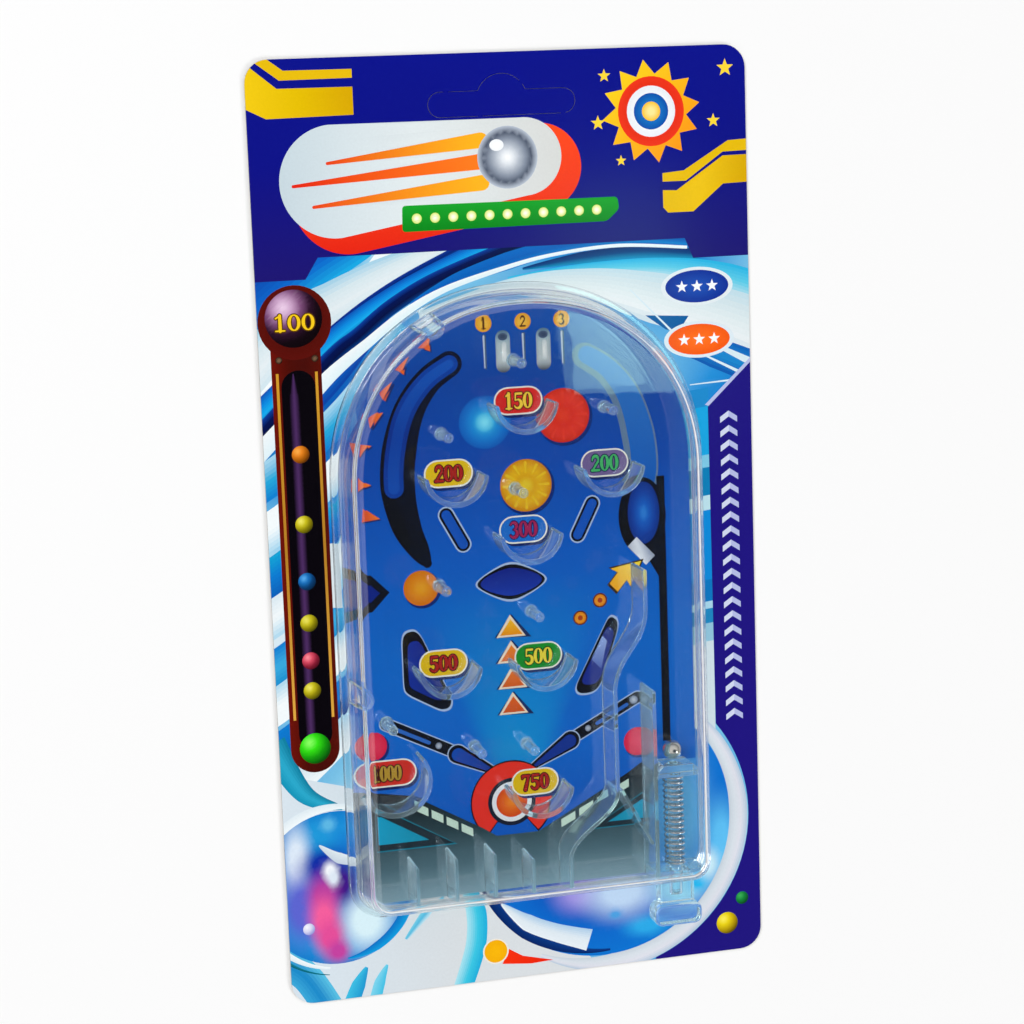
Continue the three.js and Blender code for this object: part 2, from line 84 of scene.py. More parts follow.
def ink(colour):
    """An sRGB hex colour as linear red, green, blue and full cover; a linear colour is passed on."""
    if not isinstance(colour, str):
        return tuple(colour)
    values = [int(colour[i : i + 2], 16) / 255 for i in (1, 3, 5)]
    return (*[v / 12.92 if v <= 0.04045 else ((v + 0.055) / 1.055) ** 2.4 for v in values], 1.0)


def node_box(name):
    """The lowest and highest corner of a CAD node, in millimetres."""
    low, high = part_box(name)
    return low / MM, high / MM


COVER_LOW, COVER_HIGH = node_box("front_cover")
TRAY_LOW, TRAY_HIGH = node_box("base_tray")
CARD_HIGH = node_box("backing_card")[1]
GATE_LOW, GATE_HIGH = node_box("plunger_gate")
SPRING_LOW, SPRING_HIGH = node_box("plunger_spring")
CASE_MIDDLE = (COVER_LOW.x + COVER_HIGH.x) / 2
ROD_HEIGHT = (SPRING_LOW.z + SPRING_HIGH.z) / 2


# ---- What a user would change ----


def length(name, description, default):
    """A length property, given in millimetres."""
    return FloatProperty(name=name, description=description, default=default * MM, unit="LENGTH", precision=5)


def colour(name, description, default):
    """A colour property, given as sRGB hex."""
    return FloatVectorProperty(name=name, description=description, default=ink(default), subtype="COLOR", size=4)


class CaseSettings(bpy.types.PropertyGroup):
    """Sizes of the clear tray and cover"""

    half_width: length("Half width", "Half of the case's width", (COVER_HIGH.x - COVER_LOW.x) / 2)
    arch_rise: length("Arch rise", "Height of the round top", 50.25)
    corner: length("Lower corner", "Radius of the two lower corners", 9)
    flange: length("Flange width", "Width of the rim around the cover", 1.85)
    flange_height: length("Flange height", "Thickness of the cover's rim", 1.2)
    wall: length("Wall", "Thickness of the side wall", 1.3)
    draft: length("Draft", "How far the wall leans in up to its shoulder", 1.6)
    face: length("Front", "Thickness of the flat front", 1.4)
    shoulder: length("Shoulder", "Outer radius between wall and front", 2.9)
    column: length("Column", "Radius of the two half-round columns", 3.4)
    tint: colour("Tint", "Colour of light through the clear plastic", "#fdfeff")


class PieceSettings(bpy.types.PropertyGroup):
    """Sizes of the small moulded pieces"""

    peg: length("Peg", "Diameter of a peg's shank", 3)
    peg_foot: length("Peg foot", "How far a peg's foot flares", 0.35)
    peg_dimple: length("Peg dimple", "Depth of the dimple in a peg's top", 0.7)
    cup: length("Cup", "Outer radius of a score cup", 8.6)
    corner_cup: length("Corner cup", "Outer radius of the large cup", 9.6)
    cup_bottom: length("Cup bottom", "Thickness of a cup at its middle", 1.5)
    cup_tip: length("Cup tip", "Thickness of a cup at its ends", 0.8)
    rail: length("Rail", "Thickness of the long rail and the lane's wall", 1.15)
    return_rail: length("Return rail", "Thickness of the sloping rail", 0.9)
    divider: length("Divider", "Thickness of a bin's divider", 1)
    edge: length("Edge", "Radius of moulded edges", 0.22)
    cloud: FloatProperty(name="Cloud", description="Share of light that the ribs scatter", default=0.06, min=0, max=1)
    cloud_tint: colour("Cloud tint", "Colour of the ribs' scattered light", "#d8f4fd")


class PlungerSettings(bpy.types.PropertyGroup):
    """Sizes and metal colours of the plunger, spring and ball"""

    rod: length("Rod", "Diameter of the rod", 3.2)
    chamfer: length("Chamfer", "Cut corners of the head", 1.6)
    stem_width: length("Stem width", "Width of the flat stem", 9.6)
    stem_thickness: length("Stem thickness", "Thickness of the flat stem", 4.6)
    grip_length: length("Grip length", "Length of the rounded grip", 6)
    wire: length("Wire", "Diameter of the spring's wire", 0.6)
    turns: IntProperty(name="Turns", description="Turns of the spring", default=17, min=4)
    wire_steel: colour("Wire steel", "Colour of the drawn wire", "#c3c6c8")
    ball_steel: colour("Ball steel", "Colour of the polished ball", "#d4d0c6")


class PrintSettings(bpy.types.PropertyGroup):
    """The card's main inks and its own sizes"""

    corner: length("Card corner", "Radius of the card's corners", 6)
    slit: length("Slit", "Width of the hang slot's cut line", 0.12)
    header: colour("Header ink", "Ink of the card's upper part", "#07108a")
    header_low: colour("Header low ink", "Ink at the foot of the upper part", "#1c1470")
    strip: colour("Strip ink", "Ink of the strip at the right", "#1e137c")
    board: colour("Board", "Colour of the bare board", "#b3afa6")


class StageSettings(bpy.types.PropertyGroup):
    """Light and floor"""

    key: FloatProperty(name="Key lamp", description="Power of the large lamp", default=29, unit="POWER")
    fill: FloatProperty(name="Fill lamp", description="Power of the lamp opposite", default=22, unit="POWER")
    sky: FloatProperty(name="Sky", description="Brightness of the light above", default=0.9, min=0)
    horizon: FloatProperty(name="Horizon", description="Brightness of the light all round", default=0.3, min=0)
    flag: FloatProperty(name="Flag", description="Brightness of the dark patch above", default=0.03, min=0)
    floor: colour("Floor", "Colour of the floor", "#f4f4f4")


def in_mm(group):
    """A group's lengths in millimetres."""
    settings = getattr(bpy.context.scene, group)
    lengths = [p.identifier for p in settings.bl_rna.properties if getattr(p, "unit", "") == "LENGTH"]
    return SimpleNamespace(**{name: getattr(settings, name) / MM for name in lengths})


# ---- Nodes and materials ----


def add_node(tree, kind, inputs=None, **settings):
    """Adds a node, sets its settings, and sets its inputs or links them to a socket or to a node's first output."""
    node = tree.nodes.new(kind)
    for name, value in settings.items():
        setattr(node, name, value)
    for name, value in (inputs or {}).items():
        if isinstance(value, bpy.types.Node):
            value = value.outputs[0]
        if isinstance(value, bpy.types.NodeSocket):
            tree.links.new(value, node.inputs[name])
        else:
            node.inputs[name].default_value = value
    return node


def material(name, surface, *values):
    """A material made once and then shared; surface(tree, place, *values) gives its shader at a place."""
    if name not in bpy.data.materials:
        made = bpy.data.materials.new(name)
        made.use_nodes = True
        tree = made.node_tree
        tree.nodes.clear()
        place = add_node(tree, "ShaderNodeTexCoord").outputs["Object"]
        add_node(tree, "ShaderNodeOutputMaterial", {"Surface": surface(tree, place, *values)})
    return bpy.data.materials[name]


def moulded_surface(tree, place, tint, cloud):
    """Clear plastic that scatters a share of the light."""
    # Flow waves about 9 mm apart
    waves = add_node(tree, "ShaderNodeTexNoise", {"Vector": place, "Scale": 110.0, "Detail": 1.0})
    bump = add_node(tree, "ShaderNodeBump", {"Height": waves, "Strength": 0.06, "Distance": 0.0002})
    # Scuffs under a millimetre across
    scuffs = add_node(tree, "ShaderNodeTexNoise", {"Vector": place, "Scale": 1400.0, "Detail": 3.0})
    haze = cloud * 0.4
    levels = {"Value": scuffs, "From Min": 0.45, "From Max": 0.75, "To Min": haze, "To Max": 0.035 + haze}
    rough = add_node(tree, "ShaderNodeMapRange", levels)
    plastic = {"Base Color": tint, "Roughness": rough, "IOR": 1.59, "Transmission Weight": 1.0 - cloud,
        "Normal": bump}
    clear = add_node(tree, "ShaderNodeBsdfPrincipled", plastic)
    # Lamps, and light thrown back by the prints, pass straight through the clear plastic
    through = add_node(tree, "ShaderNodeBsdfTransparent", {"Color": ink("#fdfefe")})
    path = add_node(tree, "ShaderNodeLightPath").outputs
    for ray in ("Is Diffuse Ray", "Is Shadow Ray"):
        clear = add_node(tree, "ShaderNodeMixShader", {0: path[ray], 1: clear, 2: through})
    return clear


def clear_polystyrene(eroded=False):
    """Injection-moulded crystal polystyrene, from a polished or a spark-eroded part of the mould."""
    # Clear as glass, but its flow leaves the flats slightly wavy and handling leaves it faintly scuffed;
    # ribs and pegs come from eroded slots, which leave their sides a little cloudy
    if eroded:
        pieces = bpy.context.scene.pinball_pieces
        return material("clear polystyrene, eroded mould", moulded_surface, pieces.cloud_tint, pieces.cloud)
    return material("clear polystyrene, polished mould", moulded_surface, bpy.context.scene.pinball_case.tint, 0.0)


def printed_surface(tree, place, roughness, coat):
    """Offset print on coated board or paper, from the artwork held at the mesh's corners."""
    # Solid inks lie a little unevenly over the fibres, under a gloss varnish
    art = add_node(tree, "ShaderNodeAttribute", attribute_name="print")
    # Ink mottle about 0.7 mm across, and slow drift of the press over 25 mm
    mottle = add_node(tree, "ShaderNodeTexNoise", {"Vector": place, "Scale": 1500.0, "Detail": 2.0})
    drift = add_node(tree, "ShaderNodeTexNoise", {"Vector": place, "Scale": 40.0, "Detail": 1.0})
    both = add_node(tree, "ShaderNodeMath", {0: mottle, 1: drift}, operation="ADD")
    levels = {"Value": both, "From Min": 0.6, "From Max": 1.4, "To Min": 0.965, "To Max": 1.035}
    shade = add_node(tree, "ShaderNodeMapRange", levels)
    coloured = add_node(tree, "ShaderNodeVectorMath", {0: art, 1: shade}, operation="MULTIPLY")
    # Fibres under the coating, about 0.4 mm apart
    fibres = add_node(tree, "ShaderNodeTexNoise", {"Vector": place, "Scale": 2600.0, "Detail": 2.0})
    bump = add_node(tree, "ShaderNodeBump", {"Height": fibres, "Strength": 0.03, "Distance": 0.00004})
    levels = {"Value": mottle, "From Min": 0.3, "From Max": 0.7, "To Min": roughness, "To Max": roughness + 0.03}
    inked = {"Base Color": coloured, "Roughness": add_node(tree, "ShaderNodeMapRange", levels), "Normal": bump}
    varnish = {"IOR": 1.5, "Specular IOR Level": 0.25, "Coat Weight": coat, "Coat Roughness": 0.1}
    return add_node(tree, "ShaderNodeBsdfPrincipled", {**inked, **varnish})


def board_surface(tree, place):
    """The unprinted back and cut edges of folding boxboard."""
    # Recycled fibre shows as grey specks and short light hairs on a dull surface
    grain = {"Vector": place, "Scale": 900.0, "Detail": 4.0, "Roughness": 0.7}
    specks = add_node(tree, "ShaderNodeTexNoise", grain)
    # Fibres about 2 mm long, stretched along the card
    fibre_place = add_node(tree, "ShaderNodeMapping", {"Vector": place, "Scale": (3000.0, 500.0, 500.0)})
    fibres = add_node(tree, "ShaderNodeTexNoise", {"Vector": fibre_place, "Scale": 1.0, "Detail": 2.0})
    tone = add_node(tree, "ShaderNodeMath", {0: specks, 1: fibres}, operation="ADD")
    half = add_node(tree, "ShaderNodeMath", {0: tone, 1: 0.5}, operation="MULTIPLY")
    ramp = add_node(tree, "ShaderNodeValToRGB", {"Fac": half})
    board = bpy.context.scene.pinball_print.board[:3]
    for stop, place_on_ramp, light in zip(ramp.color_ramp.elements, (0.35, 0.65), (0.72, 1.12)):
        stop.position = place_on_ramp
        stop.color = (*[min(v * light, 1.0) for v in board], 1.0)
    bump = add_node(tree, "ShaderNodeBump", {"Height": fibres, "Strength": 0.3, "Distance": 0.00005})
    return add_node(tree, "ShaderNodeBsdfPrincipled", {"Base Color": ramp, "Roughness": 0.9, "Normal": bump})


def bare_board():
    """Greyback boxboard, cut."""
    return material("greyback boxboard, cut", board_surface)


def metal_surface(tree, place, colour, pattern, low, high, finest, dullest):
    """Bare metal whose roughness follows a pattern."""
    noise = add_node(tree, "ShaderNodeTexNoise", {"Vector": place, **pattern})
    levels = {"Value": noise, "From Min": low, "From Max": high, "To Min": finest, "To Max": dullest}
    rough = add_node(tree, "ShaderNodeMapRange", levels)
    return add_node(tree, "ShaderNodeBsdfPrincipled", {"Base Color": colour, "Metallic": 1.0, "Roughness": rough})


def drawn_wire():
    """Cold-drawn, zinc-plated spring steel."""
    # Die lines along the wire and a thin bright plating give a soft, slightly patchy shine
    steel, patches = bpy.context.scene.pinball_plunger.wire_steel, {"Scale": 900.0, "Detail": 2.0}
    return material("spring steel, drawn and plated", metal_surface, steel, patches, 0.35, 0.65, 0.18, 0.34)


def polished_steel():
    """Ground and tumble-polished ball steel."""
    # Mirror bright, with hairline scratches that soften it in places
    steel = bpy.context.scene.pinball_plunger.ball_steel
    scratches = {"Scale": 2500.0, "Detail": 5.0, "Distortion": 2.0}
    return material("ball steel, polished", metal_surface, steel, scratches, 0.5, 0.8, 0.04, 0.16)


def paper_surface(tree, place):
    """Seamless white studio paper."""
    # Matt, with only a faint tooth
    tooth = add_node(tree, "ShaderNodeTexNoise", {"Vector": place, "Scale": 700.0, "Detail": 2.0})
    bump = add_node(tree, "ShaderNodeBump", {"Height": tooth, "Strength": 0.05, "Distance": 0.0001})
    paper = {"Base Color": bpy.context.scene.pinball_stage.floor, "Roughness": 0.95, "Specular IOR Level": 0.1}
    return add_node(tree, "ShaderNodeBsdfPrincipled", {**paper, "Normal": bump})


# ---- Mesh helpers ----


def shade(piece, smooth_below=35):
    """Shades faces that meet at less than smooth_below degrees as one smooth surface."""
    piece.data.shade_smooth()
    piece.data.set_sharp_from_angle(angle=math.radians(smooth_below))


def new_piece(name, verts, faces, *materials, slots=None):
    """An object from points in millimetres, with a material slot for each face if slots are given."""
    mesh = bpy.data.meshes.new(name)
    mesh.from_pydata([Vector(v) * MM for v in verts], [], faces)
    for made in materials:
        mesh.materials.append(made)
    if slots is not None:
        mesh.polygons.foreach_set("material_index", slots)
    mesh.update()
    piece = bpy.data.objects.new(name, mesh)
    bpy.context.scene.collection.objects.link(piece)
    return piece


def apply_modifiers(piece):
    """Turns a piece's modifiers into its own mesh, so that none is left on it."""
    graph = bpy.context.evaluated_depsgraph_get()
    mesh = bpy.data.meshes.new_from_object(piece.evaluated_get(graph), depsgraph=graph)
    piece.modifiers.clear()
    piece.data = mesh


def round_edges(piece, radius, angle=40):
    """Rounds a piece's sharp edges, as a mould does."""
    bevel = piece.modifiers.new("moulded edge", "BEVEL")
    bevel.width = radius * MM
    bevel.segments = 3
    bevel.limit_method = "ANGLE"
    bevel.angle_limit = math.radians(angle)
    apply_modifiers(piece)
    shade(piece, 30)


def keep_flats(piece):
    """Shades round edges smooth while the large faces beside them stay flat, so that they don't lens."""
    shade(piece)
    weighted = piece.modifiers.new("flat faces", "WEIGHTED_NORMAL")
    weighted.weight = 100
    weighted.keep_sharp = True
    apply_modifiers(piece)


def combine(piece, other, operation):
    """Joins or cuts a piece by another, which is then removed."""
    cut = piece.modifiers.new("form", "BOOLEAN")
    cut.object = other
    cut.operation = operation
    cut.solver = "EXACT"
    cut.material_mode = "TRANSFER"
    apply_modifiers(piece)
    bpy.data.objects.remove(other)


def settle(piece, body, slot, *nodes):
    """Puts a finished piece on its body and in place of its CAD nodes; its slot is not used."""
    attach(piece, body)
    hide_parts(*nodes)


def skin(rings, hubs):
    """Points and faces of a closed skin through rings of equal count, with a hub point beyond each end ring."""
    size = len(rings[0])
    verts = [point for ring in rings for point in ring]
    first, last = len(verts), len(verts) + 1
    verts += hubs
    faces = []
    for j in range(size):
        after = (j + 1) % size
        faces.append((first, after, j))
        for i in range(len(rings) - 1):
            near, far = i * size, (i + 1) * size
            faces.append((near + j, near + after, far + after, far + j))
        end = (len(rings) - 1) * size
        faces.append((last, end + j, end + after))
    return verts, faces


def prism(name, outline, low, high, made):
    """An outline raised from low to high."""
    return raised(name, lambda inset: outline, low, high, 0, made)


def raised(name, outline_at, low, high, edge, made, floor=None):
    """An outline raised from low to high with a round upper edge; floor(z) is the lowest y that it may reach."""
    levels = [(0, low), (0, high)]
    if edge:
        # A ring close to each side of the round keeps the flats beside it flat
        levels = [(0, low), (0, high - edge - 0.03)] + [(a, high - edge + b) for a, b in quarter(edge, 4)]
        levels.append((edge + 0.02, high))
    verts = []
    for inset, z in levels:
        limit = floor(z) if floor else -math.inf
        verts += [(x, max(y, limit), z) for x, y in outline_at(inset)]
    count = len(verts) // len(levels)
    top = count * (len(levels) - 1)
    faces = [tuple(reversed(range(count))), tuple(range(top, top + count))]
    for ring in range(0, top, count):
        for i in range(count):
            after = (i + 1) % count
            faces.append((ring + i, ring + after, ring + count + after, ring + count + i))
    piece = new_piece(name, verts, faces, made)
    shade(piece)
    return piece


def lathe(profile, sides):
    """Points and faces of a body turned about Z, from (radius, height) pairs that start and end on the axis."""
    rings = []
    for radius, height in profile[1:-1]:
        turns = [2 * math.pi * i / sides for i in range(sides)]
        rings.append([(radius * math.cos(turn), radius * math.sin(turn), height) for turn in turns])
    return skin(rings, [(0, 0, profile[0][1]), (0, 0, profile[-1][1])])


def quarter(radius, steps):
    """Points of a quarter turn as (along, up) pairs, from (0, 0) to (radius, radius)."""
    turns = [math.pi / 2 * i / steps for i in range(steps + 1)]
    return [(radius * (1 - math.cos(turn)), radius * math.sin(turn)) for turn in turns]


# ---- The case's outline ----


def arch(case, inset, angle):
    """A point of the arch at an inset from its outer edge, its angle counted from the right."""
    across, up = (math.copysign(abs(v) ** (2 / FULLNESS), v) for v in (math.cos(angle), math.sin(angle)))
    x = CASE_MIDDLE + (case.half_width - inset) * across
    return x, COVER_HIGH.y - case.arch_rise + (case.arch_rise - inset) * up


def case_outline(inset, arch_steps=96, corner_steps=10):
    """A ring around the case at an inset from its outer edge: lower corners, sides and the full arch."""
    case = in_mm("pinball_case")
    half, bottom = case.half_width - inset, COVER_LOW.y + inset
    radius = max(case.corner - inset, 0.5)
    points = []
    for side, start in ((-1, math.pi), (1, 1.5 * math.pi)):
        for i in range(corner_steps + 1):
            angle = start + math.pi / 2 * i / corner_steps
            x = CASE_MIDDLE + side * (half - radius) + radius * math.cos(angle)
            points.append((x, bottom + radius + radius * math.sin(angle)))
    return points + [arch(case, inset, math.pi * i / arch_steps) for i in range(arch_steps + 1)]


def case_skin(levels):
    """Points and faces of a closed skin through case outlines at (inset, height) levels."""
    rings = [[(x, y, z) for x, y in case_outline(inset)] for inset, z in levels]
    return skin(rings, [(CASE_MIDDLE, 0, levels[0][1]), (CASE_MIDDLE, 0, levels[-1][1])])


def inner_wall(z):
    """How far down, in y, a piece that stands against the cover's lower wall may reach at a height."""
    case = in_mm("pinball_case")
    lean = case.draft * (z - TRAY_HIGH.z) / (COVER_HIGH.z - case.shoulder - TRAY_HIGH.z)
    clearance = 0.3
    return COVER_LOW.y + case.flange + case.wall + lean + clearance


# ---- Flat artwork ----


def mix_inks(share, inks):
    """The colour at a share from 0 to 1 along evenly spaced inks."""
    place = min(max(share, 0.0), 1.0) * (len(inks) - 1)
    i = min(int(place), len(inks) - 2)
    return tuple(a + (b - a) * (place - i) for a, b in zip(inks[i], inks[i + 1]))


def spaced(widths, count):
    """Widths at each of count points, from a few evenly spaced ones."""
    return [mix_inks(i / (count - 1), [(w,) for w in widths])[0] for i in range(count)]


def flat(colour):
    """One ink all over."""
    solid = ink(colour)
    return lambda x, y: solid


def across(x0, y0, x1, y1, *colours):
    """Inks that blend along a line."""
    inks = [ink(c) for c in colours]
    dx, dy = x1 - x0, y1 - y0
    return lambda x, y: mix_inks(((x - x0) * dx + (y - y0) * dy) / (dx * dx + dy * dy), inks)


def around(cx, cy, rx, ry, *colours):
    """Inks that blend from a middle outwards."""
    inks = [ink(c) for c in colours]
    return lambda x, y: mix_inks(math.hypot((x - cx) / rx, (y - cy) / ry), inks)


def lit(under, x, y, rx, ry, colour):
    """A paint with a soft light on it."""
    light = ink(colour)

    def paint(px, py):
        share = max(0.0, 1 - math.hypot((px - x) / rx, (py - y) / ry))
        return mix_inks(min(share * share * (3.4 - 2 * share), 1), [under(px, py), light])

    return paint


def arc(x, y, rx, ry, start=0, end=360, steps=None):
    """Points along an ellipse, angles in degrees; a full turn leaves out its last point."""
    steps = steps or max(8, int(abs(end - start) / 360 * (20 + 2.2 * max(rx, ry))))
    count = steps if abs(end - start) >= 360 else steps + 1
    angles = [math.radians(start + (end - start) * i / steps) for i in range(count)]
    return [(x + rx * math.cos(a), y + ry * math.sin(a)) for a in angles]


def rectangle(x0, y0, x1, y1):
    """The outline of a rectangle."""
    return [(x0, y0), (x1, y0), (x1, y1), (x0, y1)]


def rounded_box(x0, y0, x1, y1, radius, steps):
    """The outline of a rectangle with round corners."""
    left, right, low, high = x0 + radius, x1 - radius, y0 + radius, y1 - radius
    outline = []
    for x, y, start in ((right, high, 0), (left, high, 90), (left, low, 180), (right, low, 270)):
        outline += arc(x, y, radius, radius, start, start + 90, steps)
    return outline


def sideways(points, i):
    """The direction square to a line, to its left, at one of its points."""
    x0, y0 = points[max(i - 1, 0)]
    x1, y1 = points[min(i + 1, len(points) - 1)]
    away = math.hypot(x1 - x0, y1 - y0) or 1
    return -(y1 - y0) / away, (x1 - x0) / away


def stroke(points, widths, round_ends=True):
    """The outline of a line drawn along points, with one width or a width at each point."""
    if not isinstance(widths, (list, tuple)):
        widths = [widths] * len(points)
    left, right = [], []
    for i, (x, y) in enumerate(points):
        nx, ny = (part * widths[i] / 2 for part in sideways(points, i))
        left.append((x + nx, y + ny))
        right.append((x - nx, y - ny))
    if not round_ends:
        return right + left[::-1]
    ends = []
    for (x, y), (ax, ay), width in ((points[-1], right[-1], widths[-1]), (points[0], left[0], widths[0])):
        start = math.degrees(math.atan2(ay - y, ax - x))
        ends.append(arc(x, y, width / 2, width / 2, start, start + 180, max(8, int(width * 1.5)))[1:-1])
    return right + ends[0] + left[::-1] + ends[1]


def bent(points, steps=10):
    """A smooth line through points."""
    out = []
    for i in range(len(points) - 1):
        around_it = points[max(i - 1, 0)], points[i], points[i + 1], points[min(i + 2, len(points) - 1)]
        for k in range(steps):
            t = k / steps
            out.append(
                tuple(
                    0.5 * (2 * b + (c - a) * t + (2 * a - 5 * b + 4 * c - d) * t * t + (3 * b - a - 3 * c + d) * t**3)
                    for a, b, c, d in zip(*around_it)
                )
            )
    return out + [points[-1]]


def softened(points, radius):
    """A polygon with its corners rounded."""
    out = []
    for i, (x, y) in enumerate(points):
        ends = []
        for ax, ay in (points[i - 1], points[(i + 1) % len(points)]):
            away = math.hypot(ax - x, ay - y)
            share = min(radius, away * 0.45) / away
            ends.append((x + (ax - x) * share, y + (ay - y) * share))
        for k in range(5):
            t = k / 4
            s = 1 - t
            out.append(tuple(s**2 * a + 2 * t * s * b + t * t * c for a, b, c in zip(ends[0], (x, y), ends[1])))
    return out


def grown(points, cx, cy, wider, taller=None):
    """Points moved away from a middle."""
    return [(cx + (x - cx) * wider, cy + (y - cy) * (taller or wider)) for x, y in points]


def star(x, y, radius, points=5, depth=0.42, turn=90):
    """The outline of a star."""
    out = []
    for i in range(2 * points):
        angle = math.radians(turn + 180 * i / points)
        reach = radius if i % 2 == 0 else radius * depth
        out.append((x + reach * math.cos(angle), y + reach * math.sin(angle)))
    return out


def curve_of(cx, cy, rx, ry, start, end, thick):
    """An arc whose width swells from its ends, as (points, widths) of a digit's stroke."""
    steps, thin = 12, 0.07
    points = arc(cx, cy, rx, ry, start, end, steps)
    return points, [thin + (thick - thin) * math.sin(math.pi * i / steps) ** 1.3 for i in range(steps + 1)]


# Strokes of each digit in a cell 0.6 wide and 1 high, drawn as for bold score figures
DIGITS = {
    "0": [curve_of(0.3, 0.5, 0.2, 0.45, 90, -90, 0.2), curve_of(0.3, 0.5, 0.2, 0.45, 270, 90, 0.2)],
    "1": [([(0.3, 0.04), (0.3, 0.95)], 0.19), ([(0.12, 0.05), (0.48, 0.05)], 0.09),
    ([(0.3, 0.93), (0.13, 0.8)], 0.1)],
    "2": [
        curve_of(0.3, 0.7, 0.19, 0.25, 185, -20, 0.19),
        ([(0.46, 0.6), (0.12, 0.1)], [0.14, 0.1]),
        ([(0.08, 0.08), (0.52, 0.08)], 0.15),
    ],
    "3": [curve_of(0.27, 0.73, 0.19, 0.22, 155, -85, 0.19), curve_of(0.27, 0.28, 0.22, 0.24, 85, -155, 0.2)],
    "5": [
        ([(0.16, 0.92), (0.5, 0.92)], 0.14),
        ([(0.14, 0.92), (0.12, 0.54)], 0.08),
        curve_of(0.27, 0.31, 0.22, 0.26, 125, -155, 0.2),
    ],
    "7": [
        ([(0.1, 0.91), (0.5, 0.91)], 0.15),
        ([(0.48, 0.9), (0.26, 0.05)], [0.11, 0.2]),
        ([(0.08, 0.93), (0.08, 0.76)], 0.07),
    ],
}


class Artwork:
    """Flat shapes in printing order, each with its paint; the first is the sheet itself."""

    def __init__(self, outline, paint, spacing, shift=(0, 0)):
        self.outlines, self.paints, self.shift, self.extra = [outline], [paint], shift, []
        (left, low), (right, high) = ([pick(values) for values in zip(*outline)] for pick in (min, max))
        # Colours are worked out at the corners of a mesh, so a grid of points keeps its triangles small
        row = 0
        y = low + spacing / 2
        while y < high:
            x = left + spacing * (0.25 + 0.5 * (row % 2))
            while x < right:
                self.extra.append((x, y))
                x += spacing
            y += spacing * 0.87
            row += 1

    def sample(self, points):
        """Adds points at which a shape's blend is worked out."""
        dx, dy = self.shift
        self.extra += [(x + dx, y + dy) for x, y in points]

    def add(self, outline, paint):
        """Lays one shape on top of the others; without a paint it is cut out."""
        dx, dy = self.shift
        before = outline[-1:] + outline[:-1]
        turn = sum(x0 * y1 - x1 * y0 for (x0, y0), (x1, y1) in zip(before, outline))
        # The overlay takes what lies left of an outline as its inside
        outline = outline if turn > 0 else outline[::-1]
        self.outlines.append([(x + dx, y + dy) for x, y in outline])
        if isinstance(paint, str):
            paint = flat(paint)
        self.paints.append(paint and (lambda x, y: paint(x - dx, y - dy)))

    def disc(self, x, y, rx, ry, *colours):
        """A disc of one ink, or of inks that blend outwards, with points enough for the blend."""
        rings = (len(colours) - 1) * 3 if len(colours) > 1 else 0
        for i in range(1, rings):
            self.sample(arc(x, y, rx * i / rings, ry * i / rings, steps=max(10, int(24 * i / rings))))
        self.add(arc(x, y, rx, ry), around(x, y, rx, ry, *colours) if rings else colours[0])

    def ball(self, x, y, r, *colours):
        """A ball drawn as if lit from its upper left."""
        for i in range(1, 8):
            self.sample(arc(x, y, r * i / 8, r * i / 8, steps=6 + 3 * i))
        self.add(arc(x, y, r, r), around(x - 0.35 * r, y + 0.4 * r, 1.5 * r, 1.5 * r, *colours))

    def globe(self, x, y, rx, ry, paint, lights):
        """A glass-like ball: one disc with soft lights in it, each fading into what lies under it."""
        points, step = [], 1.5
        for light in lights:
            paint = lit(paint, *light)
            for share in (0.3, 0.6):
                points += arc(light[0], light[1], light[2] * share, light[3] * share, steps=12)
        for row in range(int(-ry / step), int(ry / step) + 1):
            for column in range(int(-rx / step), int(rx / step) + 1):
                points.append((x + step * (column + 0.5 * (row % 2)), y + step * row))
        self.sample([(px, py) for px, py in points if math.hypot((px - x) / rx, (py - y) / ry) < 0.97])
        self.add(arc(x, y, rx, ry), paint)

    def swoop(self, points, widths, *colours):
        """A tapering ribbon whose inks change from one edge to the other, as parallel bands."""
        line = bent(points) if len(points) < 12 else points
        widths = spaced(widths, len(line))
        inks = [ink(c) for c in colours]
        bands = 10
        for band in range(bands):
            edges = []
            for share in (band / bands, (band + 1) / bands):
                edge = []
                for i, (x, y) in enumerate(line):
                    nx, ny = (part * widths[i] * (share - 0.5) for part in sideways(line, i))
                    edge.append((x + nx, y + ny))
                edges.append(edge)
            self.add(edges[0] + edges[1][::-1], flat(mix_inks((band + 0.5) / bands, inks)))

    def number(self, text, x, y, height, fill, rim=None, rim_width=0.35, narrow=1.0):
        """A plain score number about a middle, with a rim of another ink."""
        advance = 0.58 * height * narrow
        left = x - advance * len(text) / 2
        for colour, grow in ((rim, 2 * rim_width), (fill, 0)):
            if colour is None:
                continue
            for i, digit in enumerate(text):
                start = left + advance * (i - 0.02)
                for points, widths in DIGITS[digit]:
                    placed = [(start + px * height * narrow, y - height / 2 + py * height) for px, py in points]
                    wide = widths if isinstance(widths, list) else [widths] * len(points)
                    self.add(stroke(placed, [w * height + grow for w in wide]), colour)

    def label(self, text, x, y, fill, figures, rim_of_figures, width=13.6, height=7.8):
        """A round-ended score label with a light outline, its shadow and its number."""
        half = (width - height) / 2
        for dx, dy, grow, colour in ((0.7, -0.9, 0.5, "#06205e"), (0, 0, 0.8, "#e6e4da"), (0, 0, 0, fill)):
            self.add(stroke([(x - half + dx, y + dy), (x + half + dx, y + dy)], height - 1.2 + grow), colour)
        self.number(text, x, y, height * 0.56, figures, rim_of_figures, 0.3, 12.0 / (4 * len(text)))


